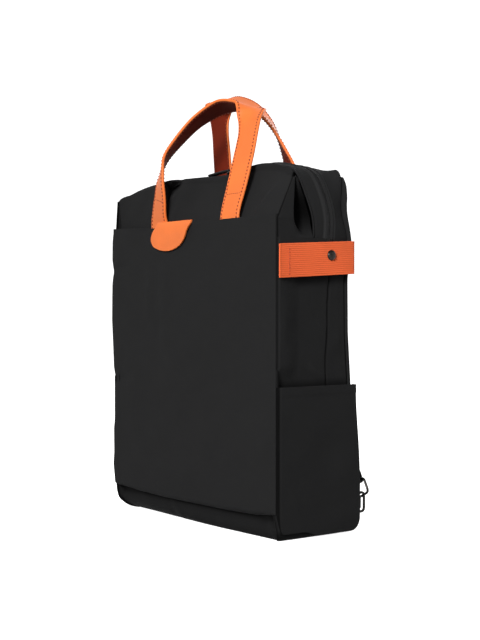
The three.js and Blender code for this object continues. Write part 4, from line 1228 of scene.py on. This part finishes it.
def snap_stud(name, sign):
    dome = STUD_RADIUS - STUD_STEP
    profile = [(0, STUD_HOLE), (0, STUD_RADIUS), (STUD_SIDE, STUD_RADIUS), (STUD_FOOT, dome)]
    for angle in np.linspace(0, math.pi / 2, 10)[1:]:
        profile.append((STUD_FOOT + (STUD_DOME - STUD_FOOT) * math.sin(angle), dome * math.cos(angle)))
    x = read(STRAP_ROUTE, "depth", STUD_DEPTH, "x") + SEAM_GAP / 2
    centre = at(sign * x, STUD_DEPTH, STUD_HEIGHT)
    dress(lathe(name, profile, centre, (sign, 0, 0)), METAL, "metal", name)


def on_zip(rows, steps):
    """Middle line and directions of a piece along the zip, from its places beside the slider and lifts."""
    columns, middle, _ = zip_path()
    level = np.ones(len(rows["x"]))
    stations = dict(
        x=SLIDER_X + rows["x"],
        depth=np.interp(SLIDER_X, columns["x"], middle) * level,
        height=seam_height(SLIDER_X) + TAPE_RISE + COIL_RISE + rows["lift"],
        turn=90 * level,
    )
    return strap_frames(stations, steps)[:3]


def zip_slider():
    rings = swept(*on_zip(SLIDER, 6), strap_section(*SLIDER_SECTION))
    dress(tube("zip_slider", rings), METAL, "metal", "zip_slider")
    frames = on_zip(PULL, 8)
    taper = lerp(PULL_TAPER, 1, ease(np.linspace(0, 1, len(frames[0])), *PULL_TAPER_END))
    rings = swept(*frames, strap_section(*PULL_SECTION), taper[:, None, None])
    dress(tube("zip_pull", rings), TAPE, "tape", "zip_pull")


def hook_frame():
    """Middle of the right hook, its direction across and its direction up, towards the strap."""
    tilt = math.radians(HOOK["tilt"])
    across = np.array([math.cos(tilt), 0, math.sin(tilt)])
    up = np.array([-math.sin(tilt), 0, math.cos(tilt)])
    return at(HOOK["x"], HOOK["depth"], HOOK["height"]), across, up


def rounded_loop(across, along, corner=4.0):
    """Closed path of a rounded rectangle, as (across, along) pairs."""
    points = []
    for k, (sx, sy) in enumerate(((1, 1), (-1, 1), (-1, -1), (1, -1))):
        for turn in np.radians(np.linspace(0, 90, 7) + 90 * k):
            x = sx * (across / 2 - corner) + corner * math.cos(turn)
            y = sy * (along / 2 - corner) + corner * math.sin(turn)
            points.append((x, y))
    return np.array(points)


def hardware(side, sign):
    """Hook, ring and ring tab of one side."""
    flip = np.array([sign, 1, 1])
    centre, across, up = hook_frame()
    loop = rounded_loop(HOOK["across"], HOOK["along"])
    path = (centre + loop[:, :1] * across + loop[:, 1:] * up) * flip
    dress(wire(f"strap_hook_{side}", path, HOOK["wire"]), METAL, "metal", f"strap_hook_{side}")
    loop = rounded_loop(RING["reach"], RING["length"])
    path = at(RING["x"], RING["depth"] + RING["reach"] / 2 + loop[:, 0], RING["height"] + loop[:, 1]) * flip
    dress(wire(f"corner_ring_{side}", path, RING["wire"]), METAL, "metal", f"corner_ring_{side}")
    near = RING["wire"] + RING_TAB["gap"] + RING_TAB["thick"]
    turn = np.linspace(-math.pi / 2, math.pi / 2, 13)
    seat = np.linspace(RING_TAB["seat"], RING["x"], 12)[:-1]
    back = np.linspace(RING["x"], RING_TAB["seat"] + RING_TAB["step"], 10)[1:]
    x = np.concatenate([seat, RING["x"] + near * np.cos(turn), back])
    out = np.concatenate([-np.ones(len(seat)), np.sin(turn), np.ones(len(back))])
    height = RING["height"] + RING_TAB["width"] * np.linspace(-0.5, 0.5, 9)[:, None]
    grid = other_side(at(x, RING["depth"] + near * out, height), sign)
    tab = shell(f"ring_tab_{side}", grid, RING_TAB["thick"], RING_TAB["bevel"])
    dress(tab, TAPE, "tape", f"ring_tab_{side}")


def shoulder_strap(side, sign):
    """Padded band, and the webbing that turns round the hook's upper bar."""
    flip = np.array([sign, 1, 1])
    middle, width, face, s = strap_frames(SHOULDER, 10)
    rings = []
    for m, w, f, wide, thick in zip(middle, width, face, s["width"], s["thick"]):
        section = strap_section(wide, thick, PAD_GROOVE * thick, PAD_GROOVE_INSET, 29)
        rings.append(m + w * section[:, :1] + f * section[:, 1:])
    pad = tube(f"shoulder_strap_{side}", np.array(rings) * flip)
    dress(pad, CANVAS, "cloth", f"shoulder_strap_{side}")
    centre, across, up = hook_frame()
    bar = centre + up * HOOK["along"] / 2
    reach = HOOK["wire"] + SEAM_GAP + WEBBING_THICK / 2
    turn = np.linspace(-math.pi / 2, math.pi / 2, 9)[:, None]
    loop = bar - up * (reach * np.cos(turn)) + np.array([0, 1, 0]) * (reach * np.sin(turn))
    start = at(SHOULDER["x"][-1], SHOULDER["depth"][-1], SHOULDER["height"][-1])
    tail = loop[-1] + up * WEBBING_TAIL
    lead = lerp(start, loop[0], np.linspace(0, 1, 8)[:, None])[:-1]
    path = np.concatenate([lead, loop, [lerp(loop[-1], tail, 0.5), tail]])
    along = unit(np.gradient(path, axis=0))
    turned = ease(np.arange(len(path)), 0, len(lead) - 1)[:, None]
    wide = unit(lerp(np.array([1.0, 0, 0]), across, turned))
    wide = unit(wide - along * (wide * along).sum(-1, keepdims=True))
    rings = swept(path, wide, np.cross(along, wide), strap_section(WEBBING_WIDTH, WEBBING_THICK))
    dress(tube(f"strap_webbing_{side}", rings * flip), TAPE, "tape")


def floor():
    """Pale floor that curves up all round."""
    profile = [(1.0, 0.0), (FLOOR_FLAT, 0.0)]
    for a in np.linspace(0.1, math.pi / 2, 12):
        profile.append((FLOOR_FLAT + FLOOR_CURVE * math.sin(a), FLOOR_CURVE - FLOOR_CURVE * math.cos(a)))
    profile.append((FLOOR_FLAT + FLOOR_CURVE, FLOOR_TOP))
    count = 96
    turn = np.linspace(0, 2 * math.pi, count, endpoint=False)
    points = [(r * math.cos(a) / MM, r * math.sin(a) / MM, z / MM) for r, z in profile for a in turn]
    faces = [(len(points), k, (k + 1) % count) for k in range(count)]
    for low in range(0, len(points) - count, count):
        for k in range(count):
            n = (k + 1) % count
            faces.append((low + k, low + count + k, low + count + n, low + n))
    obj = mesh_object("floor", points + [(0, 0, 0)], faces)
    material, tree, shader = new_material("pale_floor")
    fill_in(tree, shader, Base_Color=PALE, Roughness=0.9)
    fill_in(tree, shader, Emission_Color=WHITE, Emission_Strength=FLOOR_GLOW)
    obj.data.materials.append(material)
    obj.visible_diffuse = False


def placed(name, data, place, direction):
    """A lamp or the camera at a place, aimed along a direction."""
    obj = bpy.data.objects.new(name, data)
    bpy.context.scene.collection.objects.link(obj)
    obj.location = place
    obj.rotation_mode = "QUATERNION"
    obj.rotation_quaternion = Vector(direction).to_track_quat("-Z", "Y")
    return obj


def studio():
    """Soft studio lights and the photograph's camera."""
    scene = bpy.context.scene
    scene.view_settings.view_transform = "Standard"
    scene.world = bpy.data.worlds.new("studio")
    scene.world.use_nodes = True
    tree = scene.world.node_tree
    split = node(tree, "SeparateXYZ", Vector=coordinates(tree, "Generated"))
    strength = ranged(tree, split.outputs["Z"], *SKY)
    fill_in(tree, tree.nodes["Background"], Color=WHITE, Strength=strength)
    for name, x, y, z, size, power in LIGHTS:
        lamp = bpy.data.lights.new(name, "AREA")
        lamp.size = size
        lamp.energy = power
        placed(name, lamp, (x, y, z), (-x, -y, LIGHT_AIM - z))
    camera = bpy.data.cameras.new("camera")
    camera.lens = CAMERA_LENS
    camera.sensor_width = CAMERA_SENSOR
    scene.camera = placed("camera", camera, CAMERA_PLACE, CAMERA_AIM)


front_panel()
front_pocket()
pocket_tab()
side_panel("side_panel_right", 1, -1, FOLD_DEPTH)
side_panel("side_panel_left", -1, 0, 0)
back_panel()
base_panel()
zipped_top()
zip_slider()
handle("handle_front", HANDLE_FRONT)
handle("handle_back", HANDLE_BACK)
for side, sign in (("right", 1), ("left", -1)):
    side_pocket(f"side_pocket_{side}", sign)
    side_strap(f"side_strap_{side}", sign)
    snap_stud(f"snap_stud_{side}", sign)
    shoulder_strap(side, sign)
    hardware(side, sign)
floor()
studio()
